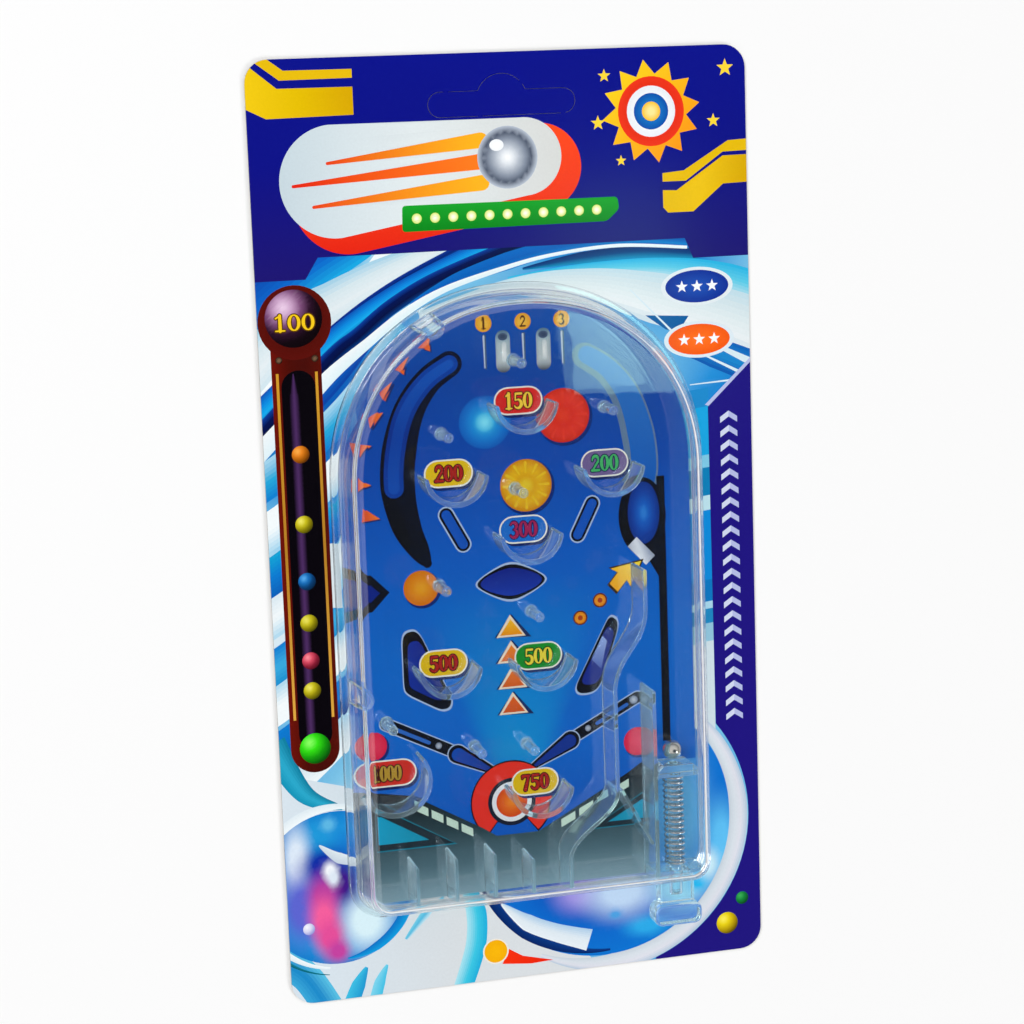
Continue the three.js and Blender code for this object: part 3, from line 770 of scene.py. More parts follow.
def open_rims(faces):
    """The closed rims of a mesh, each as its points in turn along the faces beside it."""
    halves = {(face[k], face[(k + 1) % 3]) for face in faces for k in range(3)}
    onward = {a: b for a, b in halves if (b, a) not in halves}
    rims = []
    while onward:
        start, here = next(iter(onward.items()))
        rim = [start]
        del onward[start]
        while here != start:
            rim.append(here)
            here = onward.pop(here)
        rims.append(rim)
    return rims


def printed_sheet(name, art, low, high, *materials):
    """A sheet whose upper face carries the artwork as colours at its corners, with bare edges and back."""
    points, loops = [], []
    for outline in art.outlines:
        loops.append(list(range(len(points), len(points) + len(outline))))
        points += [Vector(p) for p in outline]
    points += [Vector(p) for p in art.extra]
    laid, _, triangles, _, _, owners = delaunay_2d_cdt(points, [], loops, 1, 1e-4)
    front, colours = [], []
    for triangle, owner in zip(triangles, owners):
        if 0 not in owner or art.paints[max(owner)] is None:
            continue
        a, b, c = (laid[i] for i in triangle)
        if (b - a).cross(c - a) < 0:
            triangle = triangle[::-1]
        front.append(triangle)
        colours += [art.paints[max(owner)](*laid[i]) for i in triangle]
    used = sorted({i for face in front for i in face})
    renumber = {old: new for new, old in enumerate(used)}
    front = [tuple(renumber[i] for i in face) for face in front]
    verts = [(laid[i].x, laid[i].y, high) for i in used]
    rims = open_rims(front)
    order = [i for rim in rims for i in rim]
    below = {i: len(verts) + k for k, i in enumerate(order)}
    verts += [(verts[i][0], verts[i][1], low) for i in order]
    rest = [(a, below[a], below[b], b) for rim in rims for a, b in zip(rim, rim[1:] + rim[:1])]
    # The back needs no artwork, so it is filled from its rims alone
    for triangle in tessellate_polygon([[Vector((*verts[i][:2], 0)) for i in rim] for rim in rims]):
        a, b, c = (verts[order[i]] for i in triangle)
        turn = (b[0] - a[0]) * (c[1] - a[1]) - (b[1] - a[1]) * (c[0] - a[0])
        corners = triangle if turn < 0 else triangle[::-1]
        rest.append(tuple(below[order[i]] for i in corners))
    piece = new_piece(name, verts, front + rest, *materials, slots=[0] * len(front) + [1] * len(rest))
    layer = piece.data.attributes.new("print", "FLOAT_COLOR", "CORNER")
    colours += [(1, 1, 1, 1)] * sum(len(face) for face in rest)
    layer.data.foreach_set("color", [v for c in colours for v in c])
    return piece


# ---- The card ----


def slot_line():
    """The hang slot's cut line, which ends where it starts: two round lobes and a hump."""
    lobe, slot_half_width, hump_half_width, hump_height, below_edge = 3.2, 19.5, 6.3, 4.2, 5.4
    lobe_x, y = slot_half_width - lobe, CARD_HIGH.y - below_edge - hump_height - lobe
    radius = (hump_half_width**2 + hump_height**2) / (2 * hump_height)
    reach = math.degrees(math.asin(hump_half_width / radius))
    line = arc(lobe_x, y, lobe, lobe, -90, 90, 16)
    line += arc(0, y + lobe + hump_height - radius, radius, radius, 90 - reach, 90 + reach, 20)
    line += arc(-lobe_x, y, lobe, lobe, 90, 270, 16)
    return line + line[:1]


def slot_slits(width):
    """Outlines of the cut line's slits, between the nicks that hold the waste."""
    line = slot_line()
    ends = [0.0]
    for (x0, y0), (x1, y1) in zip(line, line[1:]):
        ends.append(ends[-1] + math.hypot(x1 - x0, y1 - y0))
    total = ends[-1]

    def at(share):
        """The point at a share of the line's length."""
        want = share * total
        i = max(k for k in range(len(line) - 1) if ends[k] <= want + 1e-9)
        t = (want - ends[i]) / (ends[i + 1] - ends[i])
        return tuple(a + (b - a) * t for a, b in zip(line[i], line[i + 1]))

    nick, count = 1.2, 4
    gap = (nick + width) / total
    slits = []
    for k in range(count):
        start, reach = k / count + gap / 2, 1 / count - gap
        slits.append(stroke([at(start + reach * i / 30) for i in range(31)], width))
    return slits


def sky_paint(x, y):
    """The card's background: pale and deep blues drifting like light in water."""
    drift = 0.5 + 0.28 * math.sin(x / 17 + y / 31) + 0.22 * math.sin(y / 13 - x / 23)
    return mix_inks(drift, SKY_INKS)


SKY_INKS = [ink(c) for c in ("#0a58b0", "#1f8ad2", "#7cc2e4", "#dfeaf0")]


def card_artwork(inks):
    """The card's print: a header, swooping light, two badges and plain pinball motifs."""
    right, top = CARD_HIGH.x, CARD_HIGH.y
    art = Artwork(rounded_box(-right, -top, right, top, inks.corner / MM, 8), sky_paint, 2.6)
    deep, sea, pale, white = "#04357f", "#0a78cc", "#a8d4ea", "#eef4f6"
    # Strokes of light that cross the left margin
    for y, colours in (
        (44, (pale, white, white)), (33, ("#0a3c9c", "#0a66c4", deep)), (21, (sea, "#27a6d6", pale)),
        (8, (pale, white, white)),
        (-4, ("#0a5cb4", sea, "#12a0d0")), (-15, (pale, white, "#d6e4ec")), (-28, ("#0c86c8", "#3aa8dc", sea)),
        (-38, (white, white, pale)), (-50, (deep, "#0c6cc0", sea)), (-60, (white, "#d6e4ec", pale)),
    ):
        art.swoop([(-74, y - 8), (-60, y), (-44, y + 14), (-28, y + 34)], [10, 9, 7, 5], *colours)
    art.swoop([(-49.4, 0), (-48.8, -17)], [2.4, 3], "#dfe6ea", "#c4d2da")
    # Swooping bands of light above the case, from the header down to the flange
    art.swoop([(-80, 48), (-56, 68), (-38, 78)], [14, 13, 10], "#18a8e0", "#0a66c8", "#0a48ac")
    art.swoop([(-80, 34), (-58, 56), (-45, 62.8), (-35, 67.6), (-25, 72), (-14, 77)], [12, 11, 10.5, 9, 6.5, 4.5],
              "#cbdfe8", "#dfe8ec", "#d2e2e8", "#9ccbe2")
    art.swoop([(-80, 25), (-60, 43), (-46, 55.6), (-30, 66), (-10, 75.4)], [3, 2.4, 2.2, 2, 1.8], "#0a4cb0",
        "#02206e", "#0a3494")
    art.swoop([(-80, 22), (-60, 41), (-48, 51.8), (-40, 57.6), (-30, 63.4), (-20, 68.2), (-5, 74.6)],
              [6, 5.4, 4.8, 4.6, 4.6, 4.4, 4],
              "#0a4cb0", "#14a6e6", "#0a84d8", "#0a50b4")
    art.swoop([(-70, 26), (-48, 47.4), (-40, 53.4), (-32, 59.6), (-22, 65.2), (-10, 70), (6, 75.4)],
              [5, 4.4, 4, 4, 4, 3.8, 3.6],
              "#063a84", "#020e40", "#021250", "#0a3c9c")
    art.swoop([(-26, 60.5), (-14, 66), (0, 70.2), (14, 73.2), (34, 74.6), (50, 73)], [1, 3.4, 4.6, 4, 3, 2],
        "#0c80c8", "#0a5cb4", "#0a68c0")
    art.swoop([(4, 68), (20, 70), (36, 70.8), (52, 69.4)], [0.6, 3, 3.4, 2.4], "#0c8cbc", "#05407e", "#042a6a")
    art.swoop([(0, 65.4), (20, 66.8), (42, 66.4), (60, 62.5), (80, 55)], [1.4, 3.4, 5, 8, 9], "#bfe0ea", "#5cc8e4",
        "#1fb0e0")
    art.swoop([(-24, 57), (0, 63), (20, 63), (40, 58.4), (62, 51.4), (80, 43)], [3, 5, 8.4, 13.4, 15, 16],
              "#c6d8e2", "#e4ebee", "#dbe7ea", "#cfe0e6", "#bcdae6")
    art.swoop([(-70, 22), (-58, 33.5), (-48, 43.4), (-38, 51), (-28, 58.2), (-17, 63.8), (-2, 68.2), (12, 71.2),
              (30, 72.7), (49, 71.3)],
              [5, 4.4, 3.6, 2.6, 2.2, 1.6, 1.2, 0.9, 0.9, 0.8], "#dceef4", white)
    # A fan of stripes below them at the right
    art.add([(37, 54), (49, 53.2), (46, 49), (42.5, 50)], "#0a5a9c")
    art.swoop([(46, 46), (56, 43), (70, 37)], [4, 8, 9], "#0a50a8", "#1a86cc", "#0a5cb4")
    for x0, y0, x1, y1, wide in ((33, 61, 46.6, 47, 0.6), (58, 44.2, 68, 39, 2.2), (53, 42.6, 64.5, 36.6, 0.9),
            (49, 34.8, 61, 35.4, 0.5)):
        art.add(stroke([(x0, y0), (x1, y1)], [wide * 0.5, wide]), "#d3e6ee")
    # Patches of light between the case and the strip
    for top, low, colour in (
        (33, 28, "#1c86c8"), (28, 15, "#18a0dc"), (15, 11.6, "#7cc4e0"), (11.6, 4, "#0c7cb4"), (4, 0, "#b8dbe6"),
        (0, -19, "#0c86d4"),
        (-19, -25, "#0c74bc"), (-25, -27, "#a4d0e4"), (-27, -31, "#1f84bc"), (-31, -36, "#8ebfd6"),
        (-36, -64, "#cbdae2"),
    ):
        art.add([(46, top), (54, top + 0.8), (54, low + 0.8), (46, low)], colour)
    # Pale ground along the bottom, with strokes of light crossing it
    ground = [(-67, -60), (-46, -66), (-30, -90)] + arc(21, -84, 36.6, 36, 190, 262, 30) + [(20, -124.5),
        (-67, -124.5)]
    art.add(ground, across(-60, 0, 20, 0, "#d3dfe8", "#d4dade", "#d8dcdf"))
    art.swoop([(-68, -52), (-60, -66), (-50, -71)], [8, 5, 1], "#0c8cb0", "#2aa6c8", "#0a7898")
    art.swoop([(-17, -97), (-15, -104), (-15.2, -111.4), (-16.8, -117.4), (-20, -126)], [4, 5.6, 5.7, 5.6, 5.2],
        "#a6dfec", "#3cc4e0", "#1aa9d6")
    art.swoop([(-24, -98), (-29, -102.6), (-34.6, -109)], [0.6, 2.6, 0.8], "#7fcfe6", "#4cb6dc", "#bfe2ee")
    art.swoop([(-50.6, -126), (-48, -120), (-45.6, -115.4)], [4.4, 3.8, 0.8], "#1a94cc", "#3cbce0")
    art.swoop([(-44, -126), (-42.2, -120), (-40, -115.4)], [3.4, 3, 0.6], "#3cbce0", "#7cd2ea")
    art.swoop([(-70, -110), (-62, -116), (-55, -128)], [9, 8, 8], "#3aa6d6", "#1584c4", "#58bfe0")
    # A glass-like ball at the left, with a warm streak in it, and a larger one at the right
    art.swoop(arc(-52.3, -92.5, 24, 24, 175, 262, 30), [0.6, 1, 0.8, 0.2], "#0a5a6c", "#0c7a8c")
    art.swoop(arc(-52.3, -92.5, 22.2, 22.2, 60, 262, 60), [0.6, 2.4, 2.6, 2.2, 0.6], "#dbe7ee", white)
    art.globe(
        -52.3, -92.5, 21, 21,
        around(-52.3, -92.5, 21, 21, "#0a48ac", "#0c50b4", "#0f62c0", "#1478cc", "#1a8cd4", "#0f7ac8"),
        (
            (-58, -79, 10, 9, "#1c94d4"), (-63, -84, 5.6, 15, "#d8e4f2"), (-62, -97, 9, 15, "#5a62cc"),
            (-56, -86, 9, 8, "#0c2aa0"), (-45, -102.4, 11, 13, "#d4ecf4"), (-51, -91.5, 5, 8, "#3c1684"),
            (-56.4, -94, 6.5, 9, "#b03c9c"), (-56.4, -100.5, 6.2, 10, "#f05c9a"), (-55, -106, 6, 8, "#e04c96"),
            (-53, -110, 5, 5, "#c0409c"), (-54.2, -87.6, 3, 4, "#f4f6fa"), (-53.4, -89.6, 2.6, 4, "#dce6f2"),
            (-54.2, -75, 3, 3, "#5cb4e0"),
        ),
    )
    art.swoop(arc(-52.3, -92.5, 19.9, 19.9, 275, 372, 40), [0.4, 2.4, 2.8, 2.6, 1.4], "#0f9cdc", "#0a6cc0")
    art.swoop([(-56.8, -80.4), (-51.6, -84.4), (-45.6, -86)], [0.4, 3, 2], "#c3d0dd", "#dce6ec")
    art.ball(-60.6, -103, 1.6, "#f4f4fa", "#d4d4ee", "#8c90d4")
    art.globe(
        21, -84, 37, 36.4,
        around(21, -84, 37, 36.4, "#3c86d0", "#1c6cc4", "#0c58b8", "#0a50b4", "#0a58bc", "#0a68c8", "#0a70cc"),
        (
            (43, -82, 13, 30, "#5cb4ec"), (55, -92, 7, 18, "#5cbcf0"), (33, -113.4, 10, 4.6, "#2aa6e4"),
            (14, -101.4, 11, 9, "#9a8edc"), (26, -103, 16, 11, "#bcd4f0"), (43, -103, 13, 9, "#a8dcf0"),
            (48, -102.4, 6, 5, "#1fb4ec"), (24, -109.3, 3, 2, "#4a9cdc"), (51, -98, 5, 7, "#c4e6f4"),
        ),
    )
    art.swoop(arc(21, -84, 35.6, 35, 190, 272, 40), [3, 3.6, 3.8, 2.2, 0.6], "#032260", "#0a3c88")
    art.swoop(arc(21, -84, 39.1, 38.8, 64, -118, 60), [0.5, 4, 5.2, 5.2, 5.2, 5, 1], "#c4ced8", "#d4dce4", "#dadce6",
        "#b0c4d8")
    art.swoop([(-8, -102.4), (-1, -108.4), (7, -112.3), (16.4, -115.6)], [0.5, 4.6, 5, 6.2], "#e4ecf2", "#dbe6ee",
        "#a8c8e4")
    # Strip down the right side, with a light line along its slanted end
    art.add([(53, 29.2), (66.5, 41.6), (66.5, 40), (54.6, 28.6)], "#b4bce4")
    art.add([(53.8, 28.6), (66.5, 40.4), (66.5, -124), (35, -124)] + arc(21, -84, 42, 41.4, -70, 38, 30),
        flat(inks.strip))
    # Chevrons down the strip
    for i in range(22):
        y = 25.6 - 3.9 * i
        art.add([(57.2, y), (59.6, y + 1.6), (59.6, y), (57.2, y - 1.6)], "#cdd4ec")
        art.add([(59.6, y + 1.6), (62, y), (62, y - 1.6), (59.6, y)], "#b0b8e0")
    # Header with a stepped lower edge
    art.add([(-67, 68.3), (-53, 68.3), (-49.6, 73.7), (48.4, 73.7), (50.6, 68.4), (67, 68.4), (67, 124), (-67, 124)],
            across(0, 124, 0, 69, inks.header, "#0a0f84", inks.header_low))
    # Yellow stripes with slanted ends
    art.add([(-67, 111.8), (-61, 108.8), (-38.7, 109.1), (-38.7, 116.1), (-58, 116.2), (-63.8, 121), (-67, 124)],
            across(-66, 0, -40, 0, "#f0c810", "#e3bc00", "#d8a800"))
    art.add([(-57.3, 118.2), (-38.7, 118.3), (-38.7, 120.5), (-56.2, 120.6), (-60.8, 124), (-65, 124)], "#e6bb0a")
    art.add([(42.7, 86.5), (46.5, 86.3), (59.4, 94.8), (67, 94.9), (67, 87.7), (59.4, 87.5), (51, 80.6), (44, 80.6),
            (42.7, 82)],
            across(41, 0, 66, 0, "#e3b800", "#f0c410", "#d8a800"))
    art.add([(42.7, 90.9), (48.6, 91.4), (60.9, 98.7), (67, 99), (67, 96), (59.4, 95.8), (49.1, 88.7), (42.7, 88.7)],
        "#e6bb0a")
    # Tilted badge with a red shadow, left for a name and filled with a rolling ball and its trail
    art.add(stroke([(-41, 88.6), (9.4, 94)], [29, 22.5]), across(0, 73, 0, 105, "#e42212", "#ff4a1c"))
    art.add(stroke([(-44.2, 92.6), (5.4, 96.8)], [28.6, 20]), across(-60, 0, 12, 0, "#c4d4dc", "#e0e8ea", "#d8dad8"))
    for lift, reach, colours in ((5.4, -46, ("#ffb21c", "#e8401a")), (0, -55, ("#ff7a1c", "#e42212")),
            (-5.4, -50, ("#ffb21c", "#e8401a"))):
        art.add(stroke([(reach, 91.8 + lift), (-6, 96 + lift)], [0.8, 4]), across(reach, 0, -8, 0, *colours[::-1]))
    art.disc(1, 96.8, 8, 8, "#ffffff", "#e3e8ee", "#b4bcc8", "#8791a2", "#4c5568", "#b9c3d2")
    art.disc(-1.8, 100, 1.9, 1.5, "#ffffff", "#f2f5f8")
    # Green ribbon with a row of lamps
    art.add(softened([(-27.4, 79), (27.2, 79.2), (30.6, 82.2), (30.2, 85.4), (-27.2, 85.7)], 1),
        across(0, 86, 0, 79, "#17a32a", "#08841a"))
    for i in range(11):
        art.disc(-23.5 + 4.8 * i, 82.3, 1.3, 1.3, "#ffffff", "#f0f6c0", "#d6e86a")
    # Bumper rings and stars in the upper right
    art.add(star(40, 107, 13.4, 12, 0.72, 8), across(30, 116, 52, 94, "#ffd21c", "#ff8a14"))
    for radius, colours in ((9, ("#c8140c", "#ee3418")), (6.6, ("#ffffff", "#e8ecf2")), (4.7, ("#1c8ad8", "#0b4fa8")),
            (2.5, ("#fff7b0", "#ffc21c"))):
        art.disc(40, 107, radius, radius, *colours)
    for x, y, size in ((27.5, 116.5, 1.8), (25.5, 104.5, 2), (60.5, 117.5, 2.4), (57, 104, 1.9), (31.5, 94.6, 1.5)):
        art.add(star(x, y, size), "#ffd83a")
    # Two oval badges
    for x, y, rx, ry, rim, colours in ((51.5, 60.9, 10, 5.1, "#dfe9ee", ("#1c50b4", "#0c2c94")),
            (51.8, 46.8, 9.8, 4.9, "#d9e6ee", ("#ff7216", "#f2560a"))):
        art.disc(x, y, rx, ry, rim)
        art.disc(x, y, rx - 1.2, ry - 0.8, *colours)
        for side in (-1, 0, 1):
            art.add(star(x + 4.2 * side, y, 1.7), "#f4f6fa")
    # Ball column down the left side: a dark tube with a soft shine, under a ball in a ring
    art.add(stroke([(-56.5, 52), (-56.5, -54)], 12.9),
        across(-63, 0, -50, 0, "#6a1006", "#4a0a04", "#440a06", "#540e06"))
    art.disc(-56.4, 57.6, 9.5, 9.5, "#4c0a04", "#4c0a04", "#5a0e08")
    art.add(stroke([(-56.2, 41), (-56.2, -50)], 8.8), "#050208")
    art.swoop([(-57.4, 44.6), (-57.4, 40), (-57.4, 35), (-57.4, 0), (-57.4, -52)], [0.3, 1.8, 2.6, 2.6, 2.6],
        "#050208", "#4c2c60", "#050208")
    for x in (-61.5, -51.4):
        art.add(rectangle(x - 0.35, -46, x + 0.35, 44.8), across(0, 45, 0, -46, "#d0982c", "#b07a24", "#dca440"))
    for x in (-60.9, -51.6):
        art.disc(x, 48.2, 0.9, 0.9, "#8a6a50", "#1c0a06")
    art.ball(-56.6, 58.6, 7.4, "#ecd0e8", "#c8a0c4", "#7c4c78", "#2c1028", "#10040c", "#0a0206")
    art.number("100", -56.5, 57.6, 4.3, "#f4c81c", "#5a3a08", 0.3, 1.45)
    yellow = ("#f4ec70", "#ccc020", "#8a8008", "#3c3804")
    for y, r, colours in (
        (23.7, 2.3, ("#ffb450", "#e88420", "#a85a08", "#4a2404")), (5.5, 2.3, yellow),
        (-9.5, 2.3, ("#5cb0ec", "#1870bc", "#083c70", "#04203c")), (-20.5, 2.3, yellow),
        (-30.5, 2.3, ("#ff98a4", "#dc4c64", "#8c1c34", "#400a18")), (-38.5, 2.3, yellow),
        (-54, 4.1, ("#90ff68", "#34e014", "#14960c", "#06400a")),
    ):
        art.ball(-56.5, y, r, *colours)
    # Balls and a streak along the bottom
    art.add([(-8.3, -119.3), (-6.3, -115.3), (-2.5, -117.7), (6, -119.9), (-0.2, -120.2)],
        across(-9, 0, 6, 0, "#f4300c", "#e82008"))
    art.disc(-10, -115.5, 3.6, 3.6, "#e8e6dc")
    art.disc(-10, -115.5, 3.2, 3.2, "#f8b808", "#f2ac06")
    art.ball(56.2, -115.6, 3.1, "#fff060", "#ecd414", "#b89c08", "#4c3c04")
    art.ball(60.7, -108.9, 1.8, "#3cb058", "#128038", "#083c14")
    for slit in slot_slits(inks.slit / MM):
        art.add(slit, None)
    return art


# ---- The playfield ----


def field_paint(x, y):
    """The playfield's blue, deeper above, with a soft beam that widens upwards from the drain."""
    base = mix_inks((66 - y) / 170, FIELD_INKS)
    edge = min(max((x - 41) / 3, 0), 1) * 0.15
    base = tuple(a + (b - a) * edge for a, b in zip(base, FIELD_LIGHT))
    rise = (y + 70) / 48
    if 0 < rise < 1.25:
        off = abs(x + 2) / (7 + 17 * rise)
        glow = max(0.0, 1 - off**3) * min(rise * 5, 1) * max(0.0, 1.2 - rise) * 0.85
        base = tuple(a + (b - a) * glow for a, b in zip(base, FIELD_BEAM))
    return base


FIELD_INKS = [ink(c) for c in ("#0a52b0", "#00409c", "#0045a8", "#0058bc", "#0064c4", "#0062c4", "#0054b8",
    "#0044a6")]
FIELD_LIGHT, FIELD_BEAM = ink("#006cc4"), ink("#0090d0")


def insert_outline():
    """The insert's edge: the case's outline, less the bay under the plunger."""
    low, high = node_box("playfield_insert")
    ring = case_outline(COVER_HIGH.x - high.x)
    bay_left, bay_top = 34.35, -67.05
    in_bay = [x > bay_left and y < bay_top for x, y in ring]
    kept = [point for point, left_out in zip(ring, in_bay) if not left_out]
    cut = in_bay.index(True)
    return kept[:cut] + [(bay_left, low.y), (bay_left, bay_top), (high.x, bay_top)] + kept[cut:]


def field_artwork():
    """The playfield's print: plain pinball marks, with a plain number at each cup."""
    art = Artwork(insert_outline(), field_paint, 2.2, shift=(-0.37, 0.26))
    black, navy, rim = "#01040e", "#001e80", "#a4b8d8"
    # Curved guides along both sides, the right one only outlined
    line = [(-16.5, 44.4), (-22.5, 40.2), (-27.6, 33), (-30.6, 23), (-31.4, 13), (-29.6, 3), (-26.3, -4),
        (-24.4, -7.4)]
    guide = bent(line, 6)
    widths = spaced((6.8, 7.2, 8.2, 9.2, 9.2, 7.8, 5.4, 2.4), len(guide))
    art.add(stroke(guide, widths), across(0, 46, 0, 0, "#020824", black))
    core = [(x - min(i / 14, 1), y) for i, (x, y) in enumerate(guide[:25])]
    for width, paint in ((4.6, across(0, 44, 0, 8, "#003c9c", "#002c88", "#003c9c")),
            (2.4, across(0, 44, 0, 8, "#0a50b4", "#003c9c", "#0a4cae"))):
        art.add(stroke(core, [width + 0.6 * min(i / 14, 1) for i in range(25)]), paint)
    other = [(3.4 - x, y) for x, y in guide[:27]]
    art.add(stroke(other, widths[:27]), "#5f7896")
    art.add(stroke([(x + 0.6, y + 0.2) for x, y in other], [w - 2.2 for w in widths[:27]]),
        across(0, 46, 0, 8, "#2a70c0", "#0a58b4"))
    # Bumper of the right wall, its silver bar and the lane's black line
    art.add(stroke([(39.9, 11), (39.9, -61.7)], 2.2, False), black)
    art.disc(34.6, 0.5, 6.6, 10.5, black)
    art.add([(33, -6), (40.9, -2), (40.9, -20), (38.7, -16)], black)
    art.disc(35, 1.4, 4.4, 8.4, "#2f86d8", "#1058ba", "#0a3f9e", "#082e84")
    art.add(stroke([(31.6, -6.2), (36.6, -11.6)], 3.5, False),
        across(30, -8, 35, -6, "#8a94aa", "#e8ebf2", "#9aa4ba"))
    # Slots either side of the middle
    for (x0, x1) in ((-18.9, -14.6), (20.8, 16.6)):
        for width, colour in ((4.5, rim), (3.7, black), (2.5, "#0a4fb4")):
            art.add(stroke([(x0, 5), (x1, -3.1)], width), colour)
    # Diamonds
    for grow, paint in ((0.7, rim), (0, black), (-1.1, across(0, -10, 0, -19, "#06197a", "#1238a8"))):
        w, h = 10 + grow, 5.3 + grow
        sides = [(-2 - w, -14.2), (-8.5, -14.2 + h * 0.5), (-2, -14.2 + h), (4.5, -14.2 + h * 0.5), (-2 + w, -14.2)]
        lower = [(x, -28.4 - y) for x, y in sides[3:0:-1]]
        art.add(softened(sides + lower, 4), paint)
    art.add([(-47, -6), (-39.5, -9.4), (-34.8, -14.2), (-39.5, -19), (-47, -22)], black)
    art.add([(-47, -9), (-40.4, -11.4), (-37.4, -14.2), (-40.4, -17), (-47, -19)], navy)
    # Slingshots
    left = [(-31.6, -28), (-30.8, -26.2), (-28.4, -25.8), (-26.9, -27.4), (-19.8, -43.6), (-20.4, -45.8),
        (-22.6, -46.2)]
    left += [(-30.6, -41.6), (-31.6, -40.2)]
    right = [(24.4, -26.6), (26.4, -27.6), (26.6, -30), (21.6, -44), (19.6, -45.6), (16, -45.6), (15.2, -43.8)]
    for outline, x, y, core_paint in (
        (left, -26.5, -36, across(-31, 0, -20, 0, "#0b2c94", "#071c70")),
        (right, 21.8, -37, across(15, -44, 26, -28, "#10268a", "#0a1c74")),
    ):
        for grow, paint in ((1.14, rim), (1.08, black), (0.82, core_paint)):
            art.add(softened(grown(outline, x, y, grow), 2), paint)
    art.add([(22.6, -31), (23.8, -32.5), (22, -40), (19.4, -37.2)], across(23, -31, 20, -40, "#8fa6dc", "#3f58a8"))
    # Lit bumper caps with moulded rings
    for x, y, r, colours in (
        (-7.6, 28.6, 7, ("#8ae8f8", "#3ab0e0", "#1488d4", "#0c70c8", "#0058b4")),
        (13.6, 29, 7.2, ("#e83c1e", "#dc2814", "#e43420", "#cc2410")),
        (2.9, 11.2, 7, ("#e8cc28", "#dca008", "#e4b010", "#cc7c04")),
        (-26.4, -13.8, 4.7, ("#e8a418", "#dc8408", "#d06c04")),
        (-41.2, -55, 3.9, ("#e8385c", "#d41c44")), (31.6, -61, 3.9, ("#e8385c", "#d41c44")),
    ):
        # The frosted cap, which has five inks, has neither shadow nor rays
        frosted, large = len(colours) == 5, r > 5
        if not frosted:
            art.disc(x + 0.4, y - 0.5, r * 1.06, r * 1.06, "#03266e")
        art.disc(x, y, r, r, *colours)
        if large and not frosted:
            ray_paint = flat(mix_inks(0.35, [ink(colours[-2]), ink(colours[0])]))
            for inner, outer in zip(arc(x, y, r * 0.5, r * 0.5, steps=12), arc(x, y, r * 0.86, r * 0.86, steps=12)):
                art.add(stroke([inner, outer], [0.4, 0.8]), ray_paint)
        if large:
            art.disc(x, y, r * 0.36, r * 0.36, colours[0], colours[1])
    # Numbered lamps above three pins, and two raised posts between them
    for i, (x, text) in enumerate(((-7, "1"), (3.5, "2"), (14, "3"))):
        art.add(stroke([(x + 0.1, 51), (x + 0.3, 42.6)], [1, 0.5]), "#3f5878")
        art.add(stroke([(x - 0.1, 51), (x, 42.8)], [0.5, 0.3]), "#b9c4d2")
        art.disc(x, 54.3, 2.2, 2.2, "#f6c84a", "#e69a20")
        art.number(text, x, 54.3, 2.9, "#5a2e08")
    for x in (-2, 8.9):
        art.add(stroke([(x, 50.4), (x, 43.2)], 3.9),
            across(0, 52.6, 0, 41, "#39607c", "#9ab0ba", "#c8ccc8", "#b4bcc0", "#1c2434"))
        art.add(stroke([(x + 0.3, 48.6), (x + 0.3, 44.6)], 1.2),
            across(0, 49, 0, 44, "#c4ccd0", "#ecece8", "#c0c8cc"))
        art.disc(x, 50.6, 1.3, 1, "#1c2a48", "#4a5a78")
    # Small lit arrows along the left arch
    for x, y, turn in ((-22.6, 50.2, 250), (-29.2, 44.8, 235), (-33.8, 38.4, 222), (-37.2, 31.4, 210), (-41, 24, 190),
            (-41.6, 14.6, 175), (-39.6, 6.2, 165)):
        corners = [arc(x, y, r, r, turn + angle, steps=1)[0] for angle, r in ((180, 3.25), (310, 2.5), (410, 2.5))]
        art.add([(px + 0.4, py - 0.4) for px, py in corners], "#1a2c66")
        art.add(corners, across(x - 2, y, x + 2, y, "#d02c18", "#f0742c"))
    # Column of lit triangles
    for y, colours in (
        (-29, ("#e8860c", "#f8bc24")), (-36, ("#d8641c", "#f0862c")), (-43, ("#d0581c", "#ea7424")),
        (-50, ("#c8501a", "#e2601c")),
    ):
        art.add([(-7.2, y), (3, y - 0.4), (-2.4, y + 6.2)], "#10285c")
        art.add([(-6.6, y), (1.4, y), (-2.7, y + 6)], "#e9d9c0")
        art.add([(-5.6, y + 0.5), (0.6, y + 0.5), (-2.6, y + 4.8)], across(0, y, 0, y + 5, *colours))
    # Yellow arrow with two ringed lamps
    arrow = [(34, -11.6), (25.4, -13), (27.4, -14.2), (25, -17), (27.2, -19.4), (29.8, -16.4), (30.8, -18.2)]
    art.add(grown(arrow, 29.4, -15, 1.16), "#3a2a08")
    art.add(arrow, across(25, -19, 34, -11, "#f0a018", "#f6d83a"))
    for x, y in ((22.2, -21.3), (16.6, -25.6)):
        art.disc(x, y, 2, 2, "#5a2408")
        art.disc(x, y, 1.6, 1.6, "#f0b02c", "#e07a10")
        art.disc(x, y, 0.7, 0.7, "#b03c0c")
